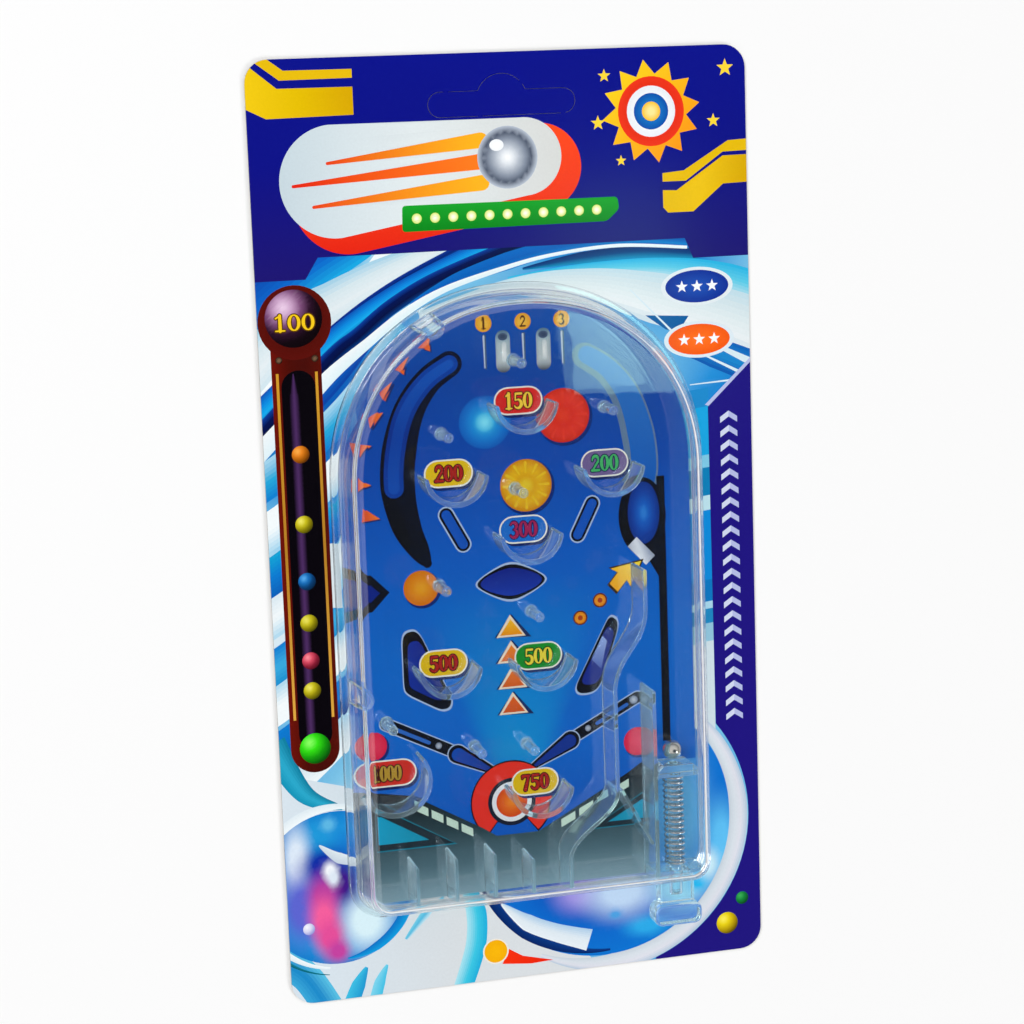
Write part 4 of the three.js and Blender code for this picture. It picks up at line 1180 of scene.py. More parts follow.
    # Inlane guides, flippers and the drain's ring
    parts = [(-37.4, -49.4), (-20.6, -58), (-34.4, -51.2), (-26, -55.5), (-36.4, -50), (-23.4, -56.6)]
    parts += [(-18.4, -59.4), (-7, -66), (-18.2, -59.6), (-8.6, -65.2)]
    for placed in (parts, [(-5.6 - x, y + 0.6) for x, y in parts]):
        guide_line, shine, screw, small_screw, flipper, flipper_core = (
            placed[:2], placed[2:4], placed[4], placed[5], placed[6:8], placed[8:]
        )
        art.add(stroke(guide_line, 3.7), rim)
        art.add(stroke(guide_line, 3.1), black)
        art.add(stroke(shine, 1), "#2a62b8")
        art.disc(*screw, 1.2, 1.2, "#c4ccd8", "#5c6880")
        art.disc(*small_screw, 0.9, 0.9, "#c4ccd8", "#5c6880")
        art.add(stroke(flipper, [5.6, 2]), rim)
        art.add(stroke(flipper, [5, 1.5]), black)
        art.add(stroke(flipper_core, [3.6, 0.9]), across(-20, 0, -8, 0, "#0a48a8", "#0b2f8a"))
    for radius, end, colour in ((11.4, -52, black), (11, -50, "#e22c20")):
        art.add(arc(-4, -74, radius, radius, end, 180 - end, 40) + arc(-4, -74, 6.4, 6.4, 180 - end, end, 30), colour)
    # Apron with its dashes and panels
    apron = [(-60, -67), (-45, -67), (-31, -69.5), (-12, -80.6), (-8.5, -83), (3, -83), (7, -81), (28.5, -69.5),
        (33.4, -66.4), (33.8, -69), (60, -69), (60, -110), (-60, -110)]
    art.add(apron, across(0, -70, 0, -100, "#0a1118", "#243c44", "#4c6a76", "#84a4b2"))
    art.disc(-4, -74, 6.6, 6.6, "#101a2c")
    art.disc(-4, -74, 5.5, 5.5, "#e0e2e6")
    art.disc(-4, -74, 4.3, 4.3, "#ec8a20", "#e06416", "#d04010")
    for side, x0, y0, x1, y1 in ((-1, -30.4, -72.4, -14.4, -81.6), (1, 29.2, -72, 8.8, -81.8)):
        for i in range(4):
            (ax, ay), (bx, by) = ((x0 + (x1 - x0) * s, y0 + (y1 - y0) * s) for s in ((i + 0.08) / 4, (i + 0.86) / 4))
            art.add([(ax, ay + 1), (bx, by + 1), (bx, by - 1.2), (ax, ay - 1.2)][::side], "#c4dccc")
    for outer, inner in (
        ([(-41.6, -70.6), (-41.6, -84), (-19.4, -84)], [(-40.4, -74), (-40.4, -82), (-27, -82)]),
        ([(34.8, -74), (34.8, -84.2), (17.4, -84.2)], [(33.8, -76.6), (33.8, -82.6), (22.6, -82.6)]),
    ):
        art.add(outer, "#0b7a94")
        art.add(grown(outer, *(sum(values) / 3 for values in zip(*outer)), 0.95, 0.93), "#1c2c36")
        art.add(inner, across(inner[0][0], 0, inner[2][0], 0, "#0a9cc4", "#0e8aa8"))
    # Score labels with plain numbers
    art.label("150", 1.6, 33.7, "#d4201c", "#f2c63a", "#5a0c08")
    art.label("200", -17.8, 15.9, "#e0b80c", "#a81c14", "#4a0a08")
    art.label("200", 24.6, 15.6, "#6e5c8e", "#3fae62", "#1c2c4c")
    art.label("300", 1.8, -0.4, "#1568c4", "#a01c50", "#2c1450")
    art.label("500", -21.2, -34.4, "#dcb40c", "#a81c14", "#4a0a08")
    art.label("500", 4.7, -34.8, "#128a26", "#e8d23a", "#0a4010")
    art.label("750", 2.6, -69.2, "#dcb40c", "#a81c14", "#4a0a08")
    art.label("1000", -37.6, -62.7, "#cc2a1c", "#b08a2c", "#3a1008", 16.4)
    return art


# ---- Operators, one for each piece or group ----


class PINBALL_OT_backing_card(bpy.types.Operator):
    """Makes the printed card with its cut hang slot"""

    bl_idname = "pinball.backing_card"
    bl_label = "Backing card"

    def execute(self, context):
        print_on_board = material("offset print on boxboard, varnished", printed_surface, 0.17, 0.12)
        art = card_artwork(context.scene.pinball_print)
        card = printed_sheet("card", art, 0, CARD_HIGH.z, print_on_board, bare_board())
        settle(card, "case", "printed_card", "backing_card")
        return {"FINISHED"}


class PINBALL_OT_playfield(bpy.types.Operator):
    """Makes the printed sheet under the clear floor"""

    bl_idname = "pinball.playfield"
    bl_label = "Playfield print"

    def execute(self, context):
        print_on_paper = material("offset print on art paper", printed_surface, 0.2, 0.05)
        # Kept a hair from the card below and the clear floor above, which touch it in the real one
        low, high = CARD_HIGH.z + HAIR / 2, CARD_HIGH.z + PRINT_THICKNESS - HAIR
        sheet = printed_sheet("playfield", field_artwork(), low, high, print_on_paper, bare_board())
        settle(sheet, "case", "printed_insert", "playfield_insert")
        return {"FINISHED"}


def lower_edge(bottom, radius=0.25):
    """Levels of an outer lower edge from the underside up, drawn in and with a fine groove."""
    return [(radius, bottom)] + [(radius - a, bottom + radius - b) for a, b in reversed(quarter(radius, 3)[:-1])]


class PINBALL_OT_tray(bpy.types.Operator):
    """Makes the clear tray, with its pocket for the print"""

    bl_idname = "pinball.tray"
    bl_label = "Tray"

    def execute(self, context):
        case = in_mm("pinball_case")
        pocket = case.flange + case.wall
        bottom, roof = TRAY_LOW.z + HAIR, TRAY_LOW.z + HAIR + PRINT_THICKNESS
        upper_edge = 0.3
        # From the pocket's roof down to the underside, round the flange and up to the floor
        levels = [(pocket + 0.4, roof), (pocket, roof), (pocket, bottom)] + lower_edge(bottom)
        levels += [(a, TRAY_HIGH.z - upper_edge + b) for a, b in quarter(upper_edge, 3)]
        levels.append((0.7, TRAY_HIGH.z))
        tray = new_piece("tray", *case_skin(levels), clear_polystyrene())
        shade(tray)
        settle(tray, "case", "clear_plastic", "base_tray")
        return {"FINISHED"}


class PINBALL_OT_cover(bpy.types.Operator):
    """Makes the clear cover: rim, leaning wall, round shoulder, flat front and two columns"""

    bl_idname = "pinball.cover"
    bl_label = "Cover"

    def execute(self, context):
        case = in_mm("pinball_case")
        bottom, top = TRAY_HIGH.z + HAIR, COVER_HIGH.z
        flange, draft = case.flange, case.draft
        wall_foot = flange + case.wall
        rim_top = TRAY_HIGH.z + case.flange_height
        shoulder = top - case.shoulder
        inside, outside = draft / (shoulder - bottom), draft / (shoulder - rim_top)
        # Rings close to each side of a round keep the flats beside it flat
        inner_round = [
            (wall_foot + draft + (case.shoulder - case.wall) * a, shoulder + (case.shoulder - case.face) * b)
            for a, b in quarter(1, 10)
        ]
        outer_round = [
            (flange + draft + case.shoulder * a, shoulder + case.shoulder * b) for a, b in quarter(1, 12)
        ]
        # From the middle of the inner face down the inner wall
        levels = [(inner_round[-1][0] + 0.1, inner_round[-1][1])] + inner_round[::-1]
        levels += [(wall_foot + draft - inside * 0.1, shoulder - 0.1), (wall_foot + inside * 0.4, bottom + 0.4)]
        levels += [(wall_foot + inside * 0.3, bottom + 0.3), (wall_foot - 0.15, bottom), (wall_foot - 0.25, bottom)]
        # Round the rim
        rim_edge = 0.4
        levels += [(0.35, bottom)] + lower_edge(bottom)
        levels += [(a, rim_top - rim_edge + b) for a, b in quarter(rim_edge, 4)]
        levels += [(0.5, rim_top), (flange - 0.5, rim_top), (flange - 0.4, rim_top), (flange - 0.12, rim_top + 0.12)]
        # Up the outer wall to the flat front
        levels += [(flange + outside * h, rim_top + h) for h in (0.4, 0.5)]
        levels += [(flange + draft - outside * 0.1, shoulder - 0.1)]
        levels += outer_round + [(outer_round[-1][0] + 0.1, top)]
        cover = new_piece("cover", *case_skin(levels), clear_polystyrene())

        def round_bar(x, y, radius, low, high, inset, made):
            """An upright bar, trimmed to the leaning wall at an inset."""
            bar = prism("bar", arc(x, y, radius, radius, steps=40), low, high, made)
            walls = [(inset, bottom - 3), (inset, bottom), (inset + draft, shoulder), (inset + draft, top + 1)]
            combine(bar, new_piece("envelope", *case_skin(walls), clear_polystyrene()), "INTERSECT")
            return bar

        # Two half-round columns against the inner wall, cored from below, which leaves a thin shell
        shell, within_front = 0.8, top - case.face / 2
        left = (CASE_MIDDLE - case.half_width + wall_foot, COVER_LOW.y + 0.375 * (COVER_HIGH.y - COVER_LOW.y))
        for x, y in (left, arch(case, wall_foot, math.radians(120))):
            eroded = clear_polystyrene(eroded=True)
            column = round_bar(x, y, case.column, bottom - ROOT, within_front, flange + 0.6, eroded)
            combine(cover, column, "UNION")
            core_top = within_front - shell - 0.1
            core = round_bar(x, y, case.column - shell, bottom - ROOT - 1, core_top, wall_foot, clear_polystyrene())
            combine(cover, core, "DIFFERENCE")
        # Notch in the lower wall for the plunger's stem
        low, high = node_box("plunger_knob")
        stem, clearance = in_mm("pinball_plunger"), 0.3
        middle = (low.x + high.x) / 2
        half = stem.stem_width / 2 + clearance
        outline = rectangle(middle - half, COVER_LOW.y - 1, middle + half, GATE_LOW.y)
        notch_top = ROD_HEIGHT + stem.stem_thickness / 2 + clearance
        combine(cover, prism("notch", outline, bottom - 1, notch_top, clear_polystyrene()), "DIFFERENCE")
        shade(cover)
        settle(cover, "case", "clear_plastic", "front_cover")
        return {"FINISHED"}


def new_tree(name, inputs, output):
    """A geometry tree with its named inputs and output, and the sockets that the inputs come in by."""
    tree = bpy.data.node_groups.new(name, "GeometryNodeTree")
    for label, kind in inputs.items():
        tree.interface.new_socket(label, in_out="INPUT", socket_type="NodeSocket" + kind)
    tree.interface.new_socket(output, in_out="OUTPUT", socket_type="NodeSocketGeometry")
    return tree, add_node(tree, "NodeGroupInput").outputs


def copies_tree():
    """Nodes that put one shape at every point, so that like pieces stay alike."""
    name = "like pieces at points"
    if name in bpy.data.node_groups:
        return bpy.data.node_groups[name]
    inputs = {"Points": "Geometry", "Shape": "Object", "Size": "Float", "Material": "Material"}
    tree, given = new_tree(name, inputs, "Pieces")
    shape = add_node(tree, "GeometryNodeObjectInfo", {"Object": given["Shape"]}).outputs["Geometry"]
    where = {"Points": given["Points"], "Instance": shape, "Scale": given["Size"]}
    placed = add_node(tree, "GeometryNodeInstanceOnPoints", where)
    real = add_node(tree, "GeometryNodeRealizeInstances", {"Geometry": placed})
    finished = add_node(tree, "GeometryNodeSetMaterial", {"Geometry": real, "Material": given["Material"]})
    add_node(tree, "NodeGroupOutput", {"Pieces": finished})
    return tree


def run_tree(piece, tree, values):
    """Gives a piece a geometry tree with its inputs set, then keeps only the resulting mesh."""
    nodes = piece.modifiers.new("form", "NODES")
    nodes.node_group = tree
    sockets = {item.name: item.identifier for item in tree.interface.items_tree if item.in_out == "INPUT"}
    for name, value in values.items():
        nodes[sockets[name]] = value
    apply_modifiers(piece)
    shade(piece)


def copies(name, shape, places, made):
    """One mesh holding a shape at each place, in millimetres."""
    piece = new_piece(name, places, [], made)
    run_tree(piece, copies_tree(), {"Shape": shape, "Size": 1.0, "Material": made})
    bpy.data.objects.remove(shape)
    return piece


class PINBALL_OT_pegs(bpy.types.Operator):
    """Makes the nine dimpled pegs"""

    bl_idname = "pinball.pegs"
    bl_label = "Pegs"

    def execute(self, context):
        sizes = in_mm("pinball_pieces")
        names = [f"peg_{i}" for i in range(1, 10)]
        boxes = [node_box(name) for name in names]
        height = boxes[0][1].z - boxes[0][0].z
        foot, dimple, rim = sizes.peg_foot, sizes.peg_dimple, 0.24
        shank = sizes.peg / 2
        top = shank - foot / 2
        # From the foot's middle out, up the leaning shank, over a round rim and down into the dimple
        profile = [(0, -ROOT), (shank + foot, -ROOT), (shank + foot, 0), (shank + foot * 0.45, foot * 0.7)]
        profile += [(shank, foot * 2), (shank - 0.005, foot * 2 + 0.2), (top + 0.004, height - rim - 0.2)]
        profile += [(top - a, height - rim + b) for a, b in quarter(rim, 4)]
        profile += [(top * 0.62, height - 0.02), (top * 0.5, height - 0.14), (top * 0.3, height - dimple * 0.8)]
        profile += [(0.05, height - dimple), (0, height - dimple)]
        plastic = clear_polystyrene(eroded=True)
        shape = new_piece("peg shape", *lathe(profile, 36), plastic)
        places = [((low.x + high.x) / 2, (low.y + high.y) / 2, low.z) for low, high in boxes]
        settle(copies("pegs", shape, places, plastic), "case", "clear_plastic", *names)
        return {"FINISHED"}


def crescent(cx, cy, radius, bottom, tip, start, end):
    """Gives outline(inset) of a cup: a crescent thickest at its middle, with round tips."""

    def outline(inset):
        outer, inner = radius - inset, radius - (bottom + tip) / 2 + inset
        outer_line = arc(cx, cy, outer, outer, start, end, 44)
        inner_line = arc(cx, cy + (bottom - tip) / 2, inner, inner, end, start, 44)
        ends = []
        for a, b in ((outer_line[-1], inner_line[0]), (inner_line[-1], outer_line[0])):
            x, y = (a[0] + b[0]) / 2, (a[1] + b[1]) / 2
            reach = math.hypot(a[0] - b[0], a[1] - b[1]) / 2
            turn = math.degrees(math.atan2(a[1] - y, a[0] - x))
            ends.append(arc(x, y, reach, reach, turn, turn + 180, 8)[1:-1])
        return outer_line + ends[0] + inner_line + ends[1]

    return outline


class PINBALL_OT_score_cups(bpy.types.Operator):
    """Makes the eight crescent cups that catch the ball"""

    bl_idname = "pinball.score_cups"
    bl_label = "Score cups"

    def execute(self, context):
        sizes = in_mm("pinball_pieces")
        plastic = clear_polystyrene(eroded=True)
        bottom, tip, radius = sizes.cup_bottom, sizes.cup_tip, sizes.cup
        scores = ("150", "200_left", "200_right", "300", "500_left", "500_right", "750")
        names = [f"score_cup_{score}" for score in scores]
        boxes = [node_box(name) for name in names]
        height = boxes[0][1].z - boxes[0][0].z
        shape = raised("cup shape", crescent(0, 0, radius, bottom, tip, 190, 350), -ROOT, height, sizes.edge, plastic)
        places = [((low.x + high.x) / 2, low.y + radius, low.z) for low, high in boxes]
        settle(copies("score_cups", shape, places, plastic), "case", "clear_plastic", *names)
        # The large cup is open towards the upper right, and its longer end follows the wall
        low, high = node_box("score_cup_1000")
        radius, start, end = sizes.corner_cup, 223, 392
        x = low.x - radius * math.cos(math.radians(start))
        outline = crescent(x, low.y + radius, radius, bottom, tip, start, end)
        corner_cup = raised("corner_cup", outline, low.z - ROOT, high.z, sizes.edge, plastic)
        settle(corner_cup, "case", "clear_plastic", "score_cup_1000")
        return {"FINISHED"}


def standing_strip(name, points, thickness, edge, node):
    """A wall along a line that stands on the tray and ends at the cover's lower wall."""
    low, high = node_box(node)
    plastic = clear_polystyrene(eroded=True)

    def outline(inset):
        return stroke(points, thickness - 2 * inset)

    strip = raised(name, outline, low.z - ROOT, high.z, edge, plastic, inner_wall)
    settle(strip, "case", "clear_plastic", node)


def bezier(p0, p1, p2, p3, steps=28):
    """Points along a cubic curve, without its first."""
    out = []
    for i in range(1, steps + 1):
        t = i / steps
        s = 1 - t
        shares = (s**3, 3 * s * s * t, 3 * s * t * t, t**3)
        out.append(tuple(sum(share * v for share, v in zip(shares, values)) for values in zip(p0, p1, p2, p3)))
    return out


class PINBALL_OT_rails(bpy.types.Operator):
    """Makes the long rail, the shooter lane's wall and the return rail"""

    bl_idname = "pinball.rails"
    bl_label = "Rails"

    def execute(self, context):
        sizes = in_mm("pinball_pieces")
        edge, thick, bottom = sizes.edge, sizes.rail, COVER_LOW.y
        half = thick / 2
        low, high = node_box("lane_rail")
        lane, bins, between = high.x - half, low.x + half, 22.01
        # Where the S-bend starts and ends, and where the swing to the bins does, as shares of the case's length
        shares = (0.477, 0.344, 0.182, 0.079)
        bend, straight, fork, swing = (bottom + share * (COVER_HIGH.y - bottom) for share in shares)
        sway, slope = (bend - straight) * 0.45, (fork - swing) * 0.4
        line = [(lane, high.y - half), (lane, bend)]
        line += bezier((lane, bend), (lane, bend - sway), (between, straight + sway), (between, straight))
        line += [(between, fork)]
        line += bezier((between, fork), (between, fork - slope), (bins, swing + slope), (bins, swing))
        standing_strip("long_rail", line + [(bins, bottom)], thick, edge, "lane_rail")
        low, high = node_box("shooter_lane_wall")
        x = (low.x + high.x) / 2
        standing_strip("lane_wall", [(x, high.y - half), (x, bottom)], thick, edge, "shooter_lane_wall")
        low, high = node_box("return_rail")
        thin = sizes.return_rail
        ends = [(low.x + thin / 2, high.y - thin / 2), (high.x - thin / 2, low.y + thin / 2)]
        standing_strip("return_rail_clear", ends, thin, edge * 0.8, "return_rail")
        return {"FINISHED"}


class PINBALL_OT_dividers(bpy.types.Operator):
    """Makes the four walls between the bins"""

    bl_idname = "pinball.dividers"
    bl_label = "Bin dividers"

    def execute(self, context):
        sizes = in_mm("pinball_pieces")
        for i in range(1, 5):
            low, high = node_box(f"bin_divider_{i}")
            x = (low.x + high.x) / 2
            points = [(x, high.y - sizes.divider / 2), (x, COVER_LOW.y)]
            standing_strip(f"divider_{i}", points, sizes.divider, sizes.edge, f"bin_divider_{i}")
        return {"FINISHED"}


class PINBALL_OT_plunger(bpy.types.Operator):
    """Makes the gate, the plunger's head and rod, and its pull"""

    bl_idname = "pinball.plunger"
    bl_label = "Plunger"

    def execute(self, context):
        sizes = in_mm("pinball_plunger")
        plastic = clear_polystyrene(eroded=True)
        rod = sizes.rod / 2
        low, high = node_box("plunger_rod")
        x = (low.x + high.x) / 2
        # Gate: a wall across the bay with a slot open to the front, and its right end leaning with the cover's wall
        slot, lean, floor, top = rod + 0.5, 1.35, GATE_LOW.z - ROOT, GATE_HIGH.z
        outline = [(GATE_LOW.x, floor), (GATE_HIGH.x, floor), (GATE_HIGH.x - lean, top), (x + slot, top)]
        outline += [(x + slot, ROD_HEIGHT - slot), (x - slot, ROD_HEIGHT - slot), (x - slot, top), (GATE_LOW.x, top)]
        count = len(outline)
        verts = [(px, y, pz) for y in (GATE_LOW.y, GATE_HIGH.y) for px, pz in outline]
        faces = [tuple(range(count)), tuple(reversed(range(count, 2 * count)))]
        faces += [(i, count + i, count + (i + 1) % count, (i + 1) % count) for i in range(count)]
        gate = new_piece("gate", verts, faces, plastic)
        round_edges(gate, 0.15)
        keep_flats(gate)
        settle(gate, "case", "clear_plastic", "plunger_gate")
        # Head with cut corners, and the rod that leads from it
        front, back, half, cut = high.y, SPRING_HIGH.y + 0.3, (high.x - low.x) / 2, sizes.chamfer
        outline = [(x - half, back), (x + half, back), (x + half, front - cut), (x + half - cut, front)]
        outline += [(x - half + cut, front), (x - half, front - cut)]
        head = prism("plunger_head_and_rod", outline, low.z, high.z, plastic)
        round_edges(head, 0.35)
        combine(head, self.bar("bar", x, rod, low.y, (front + back) / 2, plastic), "UNION")
        keep_flats(head)
        settle(head, "plunger", "clear_plastic", "plunger_rod")
        # Pull: a flat stem with a rounded grip across its end, bored for the rod
        low, high = node_box("plunger_knob")
        grip_top = low.y + sizes.grip_length
        wide, thick = sizes.stem_width / 2, sizes.stem_thickness / 2
        outline = rectangle(x - wide, grip_top - 1.5, x + wide, high.y)
        pull = prism("pull", outline, ROD_HEIGHT - thick, ROD_HEIGHT + thick, plastic)
        round_edges(pull, 0.4)
        half = (high.x - low.x) / 2
        grip = prism("grip", rounded_box(x - half, low.y, x + half, grip_top, 2.2, 6), low.z, high.z, plastic)
        round_edges(grip, 1.1, 60)
        combine(pull, grip, "UNION")
        bore_clearance, bore_depth = 0.3, 6.8
        bore = self.bar("bore", x, rod + bore_clearance, high.y - bore_depth, high.y + 1, plastic)
        combine(pull, bore, "DIFFERENCE")
        keep_flats(pull)
        settle(pull, "plunger", "clear_plastic", "plunger_knob")
        return {"FINISHED"}

    def bar(self, name, x, radius, start, end, made):
        """A round bar along Y at the rod's height."""
        edge = min(0.2, radius / 4)
        verts, faces = lathe([(0, start), (radius - edge, start), (radius, start + edge), (radius, end), (0, end)],
            40)
        return new_piece(name, [(x + vx, vz, ROD_HEIGHT - vy) for vx, vy, vz in verts], faces, made)


def spring_tree():
    """Nodes that wind a wire into a spring along Y, with a closed turn at each end."""
    sizes = {"Turns": "Float", "Radius": "Float", "Wire": "Float", "Length": "Float"}
    tree, given = new_tree("wound spring", {**sizes, "Place": "Vector", "Material": "Material"}, "Spring")
    ring = {"Start Radius": given["Radius"], "End Radius": given["Radius"], "Height": 0.0}
    coil = add_node(tree, "GeometryNodeCurveSpiral", {"Resolution": 40, "Rotations": given["Turns"], **ring})
    # Turns of a closed end lie a wire and a little more apart, and the others share the length that is left
    sums = {name: given[name] for name in sizes}
    sums["along"] = add_node(tree, "GeometryNodeSplineParameter").outputs["Factor"]
    for name, operation, a, b in (
        ("turn", "MULTIPLY", "along", "Turns"),
        ("last", "SUBTRACT", "Turns", 1.0),
        ("open turns", "SUBTRACT", "Turns", 2.0),
        ("closed pitch", "MULTIPLY", "Wire", 1.08),
        ("closed length", "MULTIPLY", "Wire", 2.16),
        ("open length", "SUBTRACT", "Length", "closed length"),
        ("open pitch", "DIVIDE", "open length", "open turns"),
        ("wire radius", "MULTIPLY", "Wire", 0.5),
    ):
        sums[name] = add_node(tree, "ShaderNodeMath", {0: sums.get(a, a), 1: sums.get(b, b)}, operation=operation)
    total = 0.0
    for start, end, pitch in ((0.0, 1.0, "closed pitch"), (1.0, "last", "open pitch"),
            ("last", "Turns", "closed pitch")):
        start, end = sums.get(start, start), sums.get(end, end)
        part = add_node(tree, "ShaderNodeClamp", {"Value": sums["turn"], "Min": start, "Max": end})
        moved = add_node(tree, "ShaderNodeMath", {0: part, 1: start}, operation="SUBTRACT")
        rise = add_node(tree, "ShaderNodeMath", {0: moved, 1: sums[pitch]}, operation="MULTIPLY")
        total = add_node(tree, "ShaderNodeMath", {0: total, 1: rise}, operation="ADD")
    lift = add_node(tree, "ShaderNodeCombineXYZ", {"Z": total})
    wound = add_node(tree, "GeometryNodeSetPosition", {"Geometry": coil, "Offset": lift})
    section = add_node(tree, "GeometryNodeCurvePrimitiveCircle", {"Resolution": 12, "Radius": sums["wire radius"]})
    wire = add_node(tree, "GeometryNodeCurveToMesh", {"Curve": wound, "Profile Curve": section, "Fill Caps": True})
    along_y = Euler((-math.pi / 2, 0, 0))
    moved = {"Geometry": wire, "Translation": given["Place"], "Rotation": along_y}
    laid = add_node(tree, "GeometryNodeTransform", moved)
    real = add_node(tree, "GeometryNodeRealizeInstances", {"Geometry": laid})
    finished = add_node(tree, "GeometryNodeSetMaterial", {"Geometry": real, "Material": given["Material"]})
    add_node(tree, "NodeGroupOutput", {"Spring": finished})
    return tree


class PINBALL_OT_spring(bpy.types.Operator):
    """Winds the spring between the plunger's head and the gate"""

    bl_idname = "pinball.spring"
    bl_label = "Spring"

    def execute(self, context):
        steel = drawn_wire()
        wire, turns = in_mm("pinball_plunger").wire, context.scene.pinball_plunger.turns
        # The wire's own thickness stands out past its middle line on every side
        radius = (SPRING_HIGH.x - SPRING_LOW.x - wire) / 2
        reach = SPRING_HIGH.y - SPRING_LOW.y - wire
        place = Vector(((SPRING_LOW.x + SPRING_HIGH.x) / 2, SPRING_LOW.y + wire / 2, ROD_HEIGHT))
        spring = new_piece("spring", [(0, 0, 0)], [], steel)
        sizes = {"Turns": float(turns), "Radius": radius * MM, "Wire": wire * MM, "Length": reach * MM}
        run_tree(spring, spring_tree(), {**sizes, "Place": place * MM, "Material": steel})
        settle(spring, "case", "spring_steel", "plunger_spring")
        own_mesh(spring)
        return {"FINISHED"}


class PINBALL_OT_ball(bpy.types.Operator):
    """Makes the steel ball"""

    bl_idname = "pinball.ball"
    bl_label = "Ball"

    def execute(self, context):
        low, high = node_box("steel_ball")
        middle, radius = (low + high) / 2, (high.x - low.x) / 2
        solid = bmesh.new()
        bmesh.ops.create_icosphere(solid, subdivisions=5, radius=radius)
        verts = [middle + v.co for v in solid.verts]
        faces = [tuple(v.index for v in face.verts) for face in solid.faces]
        solid.free()
        ball = new_piece("ball", verts, faces, polished_steel())
        shade(ball, 60)
        settle(ball, "ball", "ball_steel", "steel_ball")
        return {"FINISHED"}


def add_lamp(name, place, target, size, power):
    """A rectangular lamp turned towards a point, in metres."""
    light = bpy.data.lights.new(name, "AREA")
    light.shape = "RECTANGLE"
    light.size, light.size_y = size
    light.energy = power
    lamp = bpy.data.objects.new(name, light)
    lamp.location = place
    lamp.rotation_mode = "QUATERNION"
    lamp.rotation_quaternion = (Vector(target) - Vector(place)).to_track_quat("-Z", "Y")
    bpy.context.scene.collection.objects.link(lamp)
    return lamp


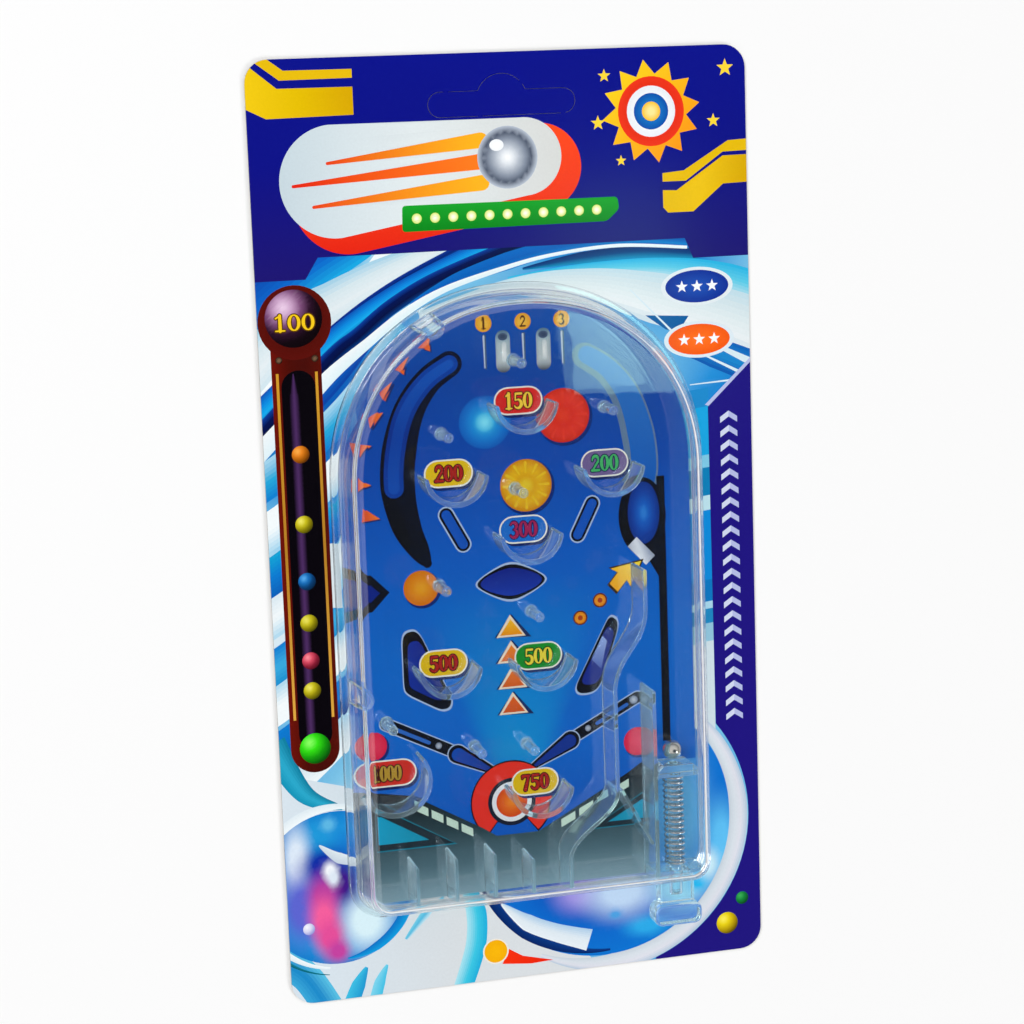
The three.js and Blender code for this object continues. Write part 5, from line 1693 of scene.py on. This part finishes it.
class PINBALL_OT_stage(bpy.types.Operator):
    """Sets the pale floor, the soft light and the camera"""

    bl_idname = "pinball.stage"
    bl_label = "Stage"

    def execute(self, context):
        scene = context.scene
        stage = scene.pinball_stage
        # A floor 6 m across, a little below the card so that the two don't flicker
        reach, level = 3000, -0.15
        corners = [(x, y, level) for x, y in rectangle(-reach, -reach, reach, reach)]
        floor = new_piece("floor", corners, [(0, 1, 2, 3)], material("studio paper, matt", paper_surface))
        self.light_sky(scene, stage)
        # Its mirror image would hide the print from some sides
        key = add_lamp("key", (-1.5, 1.1, 1.9), (0, 0, 0), (0.9, 0.9), stage.key)
        key.visible_glossy = key.visible_transmission = False
        add_lamp("fill", (1.9, -1.5, 1.5), (0, 0, 0), (0.8, 0.8), stage.fill)
        # A small window, mirrored over the upper right of the front; its narrow spread fades it to the left
        window = add_lamp("window", (0.3375, -0.025, 1.0), (-0.008, 0.052, 0), (0.14, 0.084), 0.0005)
        window.rotation_quaternion @= Quaternion((0, 0, 1), 0.25)
        window.data.spread = math.radians(12)
        window.data.color = ink("#c4fff0")[:3]
        # The camera's lens, place and turn are those that put the card's four sides where the photograph has them
        camera = bpy.data.objects.new("camera", bpy.data.cameras.new("camera"))
        camera.data.lens, camera.data.sensor_width, camera.data.clip_start = 88.15, 36, 0.01
        camera.location = (-0.16441, 0.11806, 0.62911)
        turn = Vector((-0.16779282, -0.25656596, -0.0572991))
        camera.rotation_mode = "AXIS_ANGLE"
        camera.rotation_axis_angle = (turn.length, *turn.normalized())
        scene.collection.objects.link(camera)
        scene.camera = camera
        scene.view_settings.view_transform = "Standard"
        # Lamps already reach the prints through the clear plastic, so light isn't counted a second time
        scene.cycles.caustics_refractive = scene.cycles.caustics_reflective = False
        # Light runs up and down inside the walls many times
        scene.cycles.transparent_max_bounces = scene.cycles.glossy_bounces = scene.cycles.transmission_bounces = 24
        scene.cycles.max_bounces = 32
        return {"FINISHED"}

    def light_sky(self, scene, stage):
        """Lights the scene from all round: bright above and dim at the horizon."""
        scene.world = bpy.data.worlds.new("studio")
        scene.world.use_nodes = True
        tree = scene.world.node_tree
        tree.nodes.clear()
        way = add_node(tree, "ShaderNodeTexCoord").outputs["Generated"]
        height = add_node(tree, "ShaderNodeSeparateXYZ", {0: way}).outputs["Z"]
        levels = {"Value": height, "From Min": 0.25, "From Max": 0.75, "To Min": stage.horizon, "To Max": stage.sky}
        dome = add_node(tree, "ShaderNodeMapRange", levels)
        # A black flag hangs where the flat front would mirror light over the print
        flag = Vector((0.25, -0.19, 0.95)).normalized()
        near = add_node(tree, "ShaderNodeVectorMath", {0: way, 1: flag}, operation="DOT_PRODUCT").outputs["Value"]
        levels = {"Value": near, "From Min": 0.925, "From Max": 0.965, "To Min": dome, "To Max": stage.flag}
        strength = add_node(tree, "ShaderNodeMapRange", levels)
        sky = add_node(tree, "ShaderNodeBackground", {"Color": ink("#ffffff"), "Strength": strength})
        add_node(tree, "ShaderNodeOutputWorld", {"Surface": sky})


OPERATORS = (
    PINBALL_OT_stage,
    PINBALL_OT_backing_card,
    PINBALL_OT_playfield,
    PINBALL_OT_tray,
    PINBALL_OT_cover,
    PINBALL_OT_pegs,
    PINBALL_OT_score_cups,
    PINBALL_OT_rails,
    PINBALL_OT_dividers,
    PINBALL_OT_plunger,
    PINBALL_OT_spring,
    PINBALL_OT_ball,
)


class PINBALL_PT_panel(bpy.types.Panel):
    """Lists the game's pieces"""

    bl_idname = "PINBALL_PT_panel"
    bl_label = "Handheld pinball game"
    bl_space_type = "VIEW_3D"
    bl_region_type = "UI"
    bl_category = "Pinball"

    def draw(self, context):
        for operator in OPERATORS:
            self.layout.operator(operator.bl_idname)
        for group in GROUPS:
            box = self.layout.box()
            box.label(text=GROUPS[group].__doc__)
            settings = getattr(context.scene, group)
            for name in GROUPS[group].__annotations__:
                box.prop(settings, name)


GROUPS = {
    "pinball_case": CaseSettings,
    "pinball_pieces": PieceSettings,
    "pinball_plunger": PlungerSettings,
    "pinball_print": PrintSettings,
    "pinball_stage": StageSettings,
}


def register():
    """Registers the settings, operators and panel."""
    for name, group in GROUPS.items():
        bpy.utils.register_class(group)
        setattr(bpy.types.Scene, name, PointerProperty(type=group))
    for made in (*OPERATORS, PINBALL_PT_panel):
        bpy.utils.register_class(made)


def unregister():
    """Takes them away again."""
    for made in (PINBALL_PT_panel, *reversed(OPERATORS)):
        bpy.utils.unregister_class(made)
    for name, group in GROUPS.items():
        delattr(bpy.types.Scene, name)
        bpy.utils.unregister_class(group)


def main():
    """Builds every piece in order."""
    register()
    for operator in OPERATORS:
        group, name = operator.bl_idname.split(".")
        getattr(getattr(bpy.ops, group), name)()


if __name__ == "__main__":
    main()
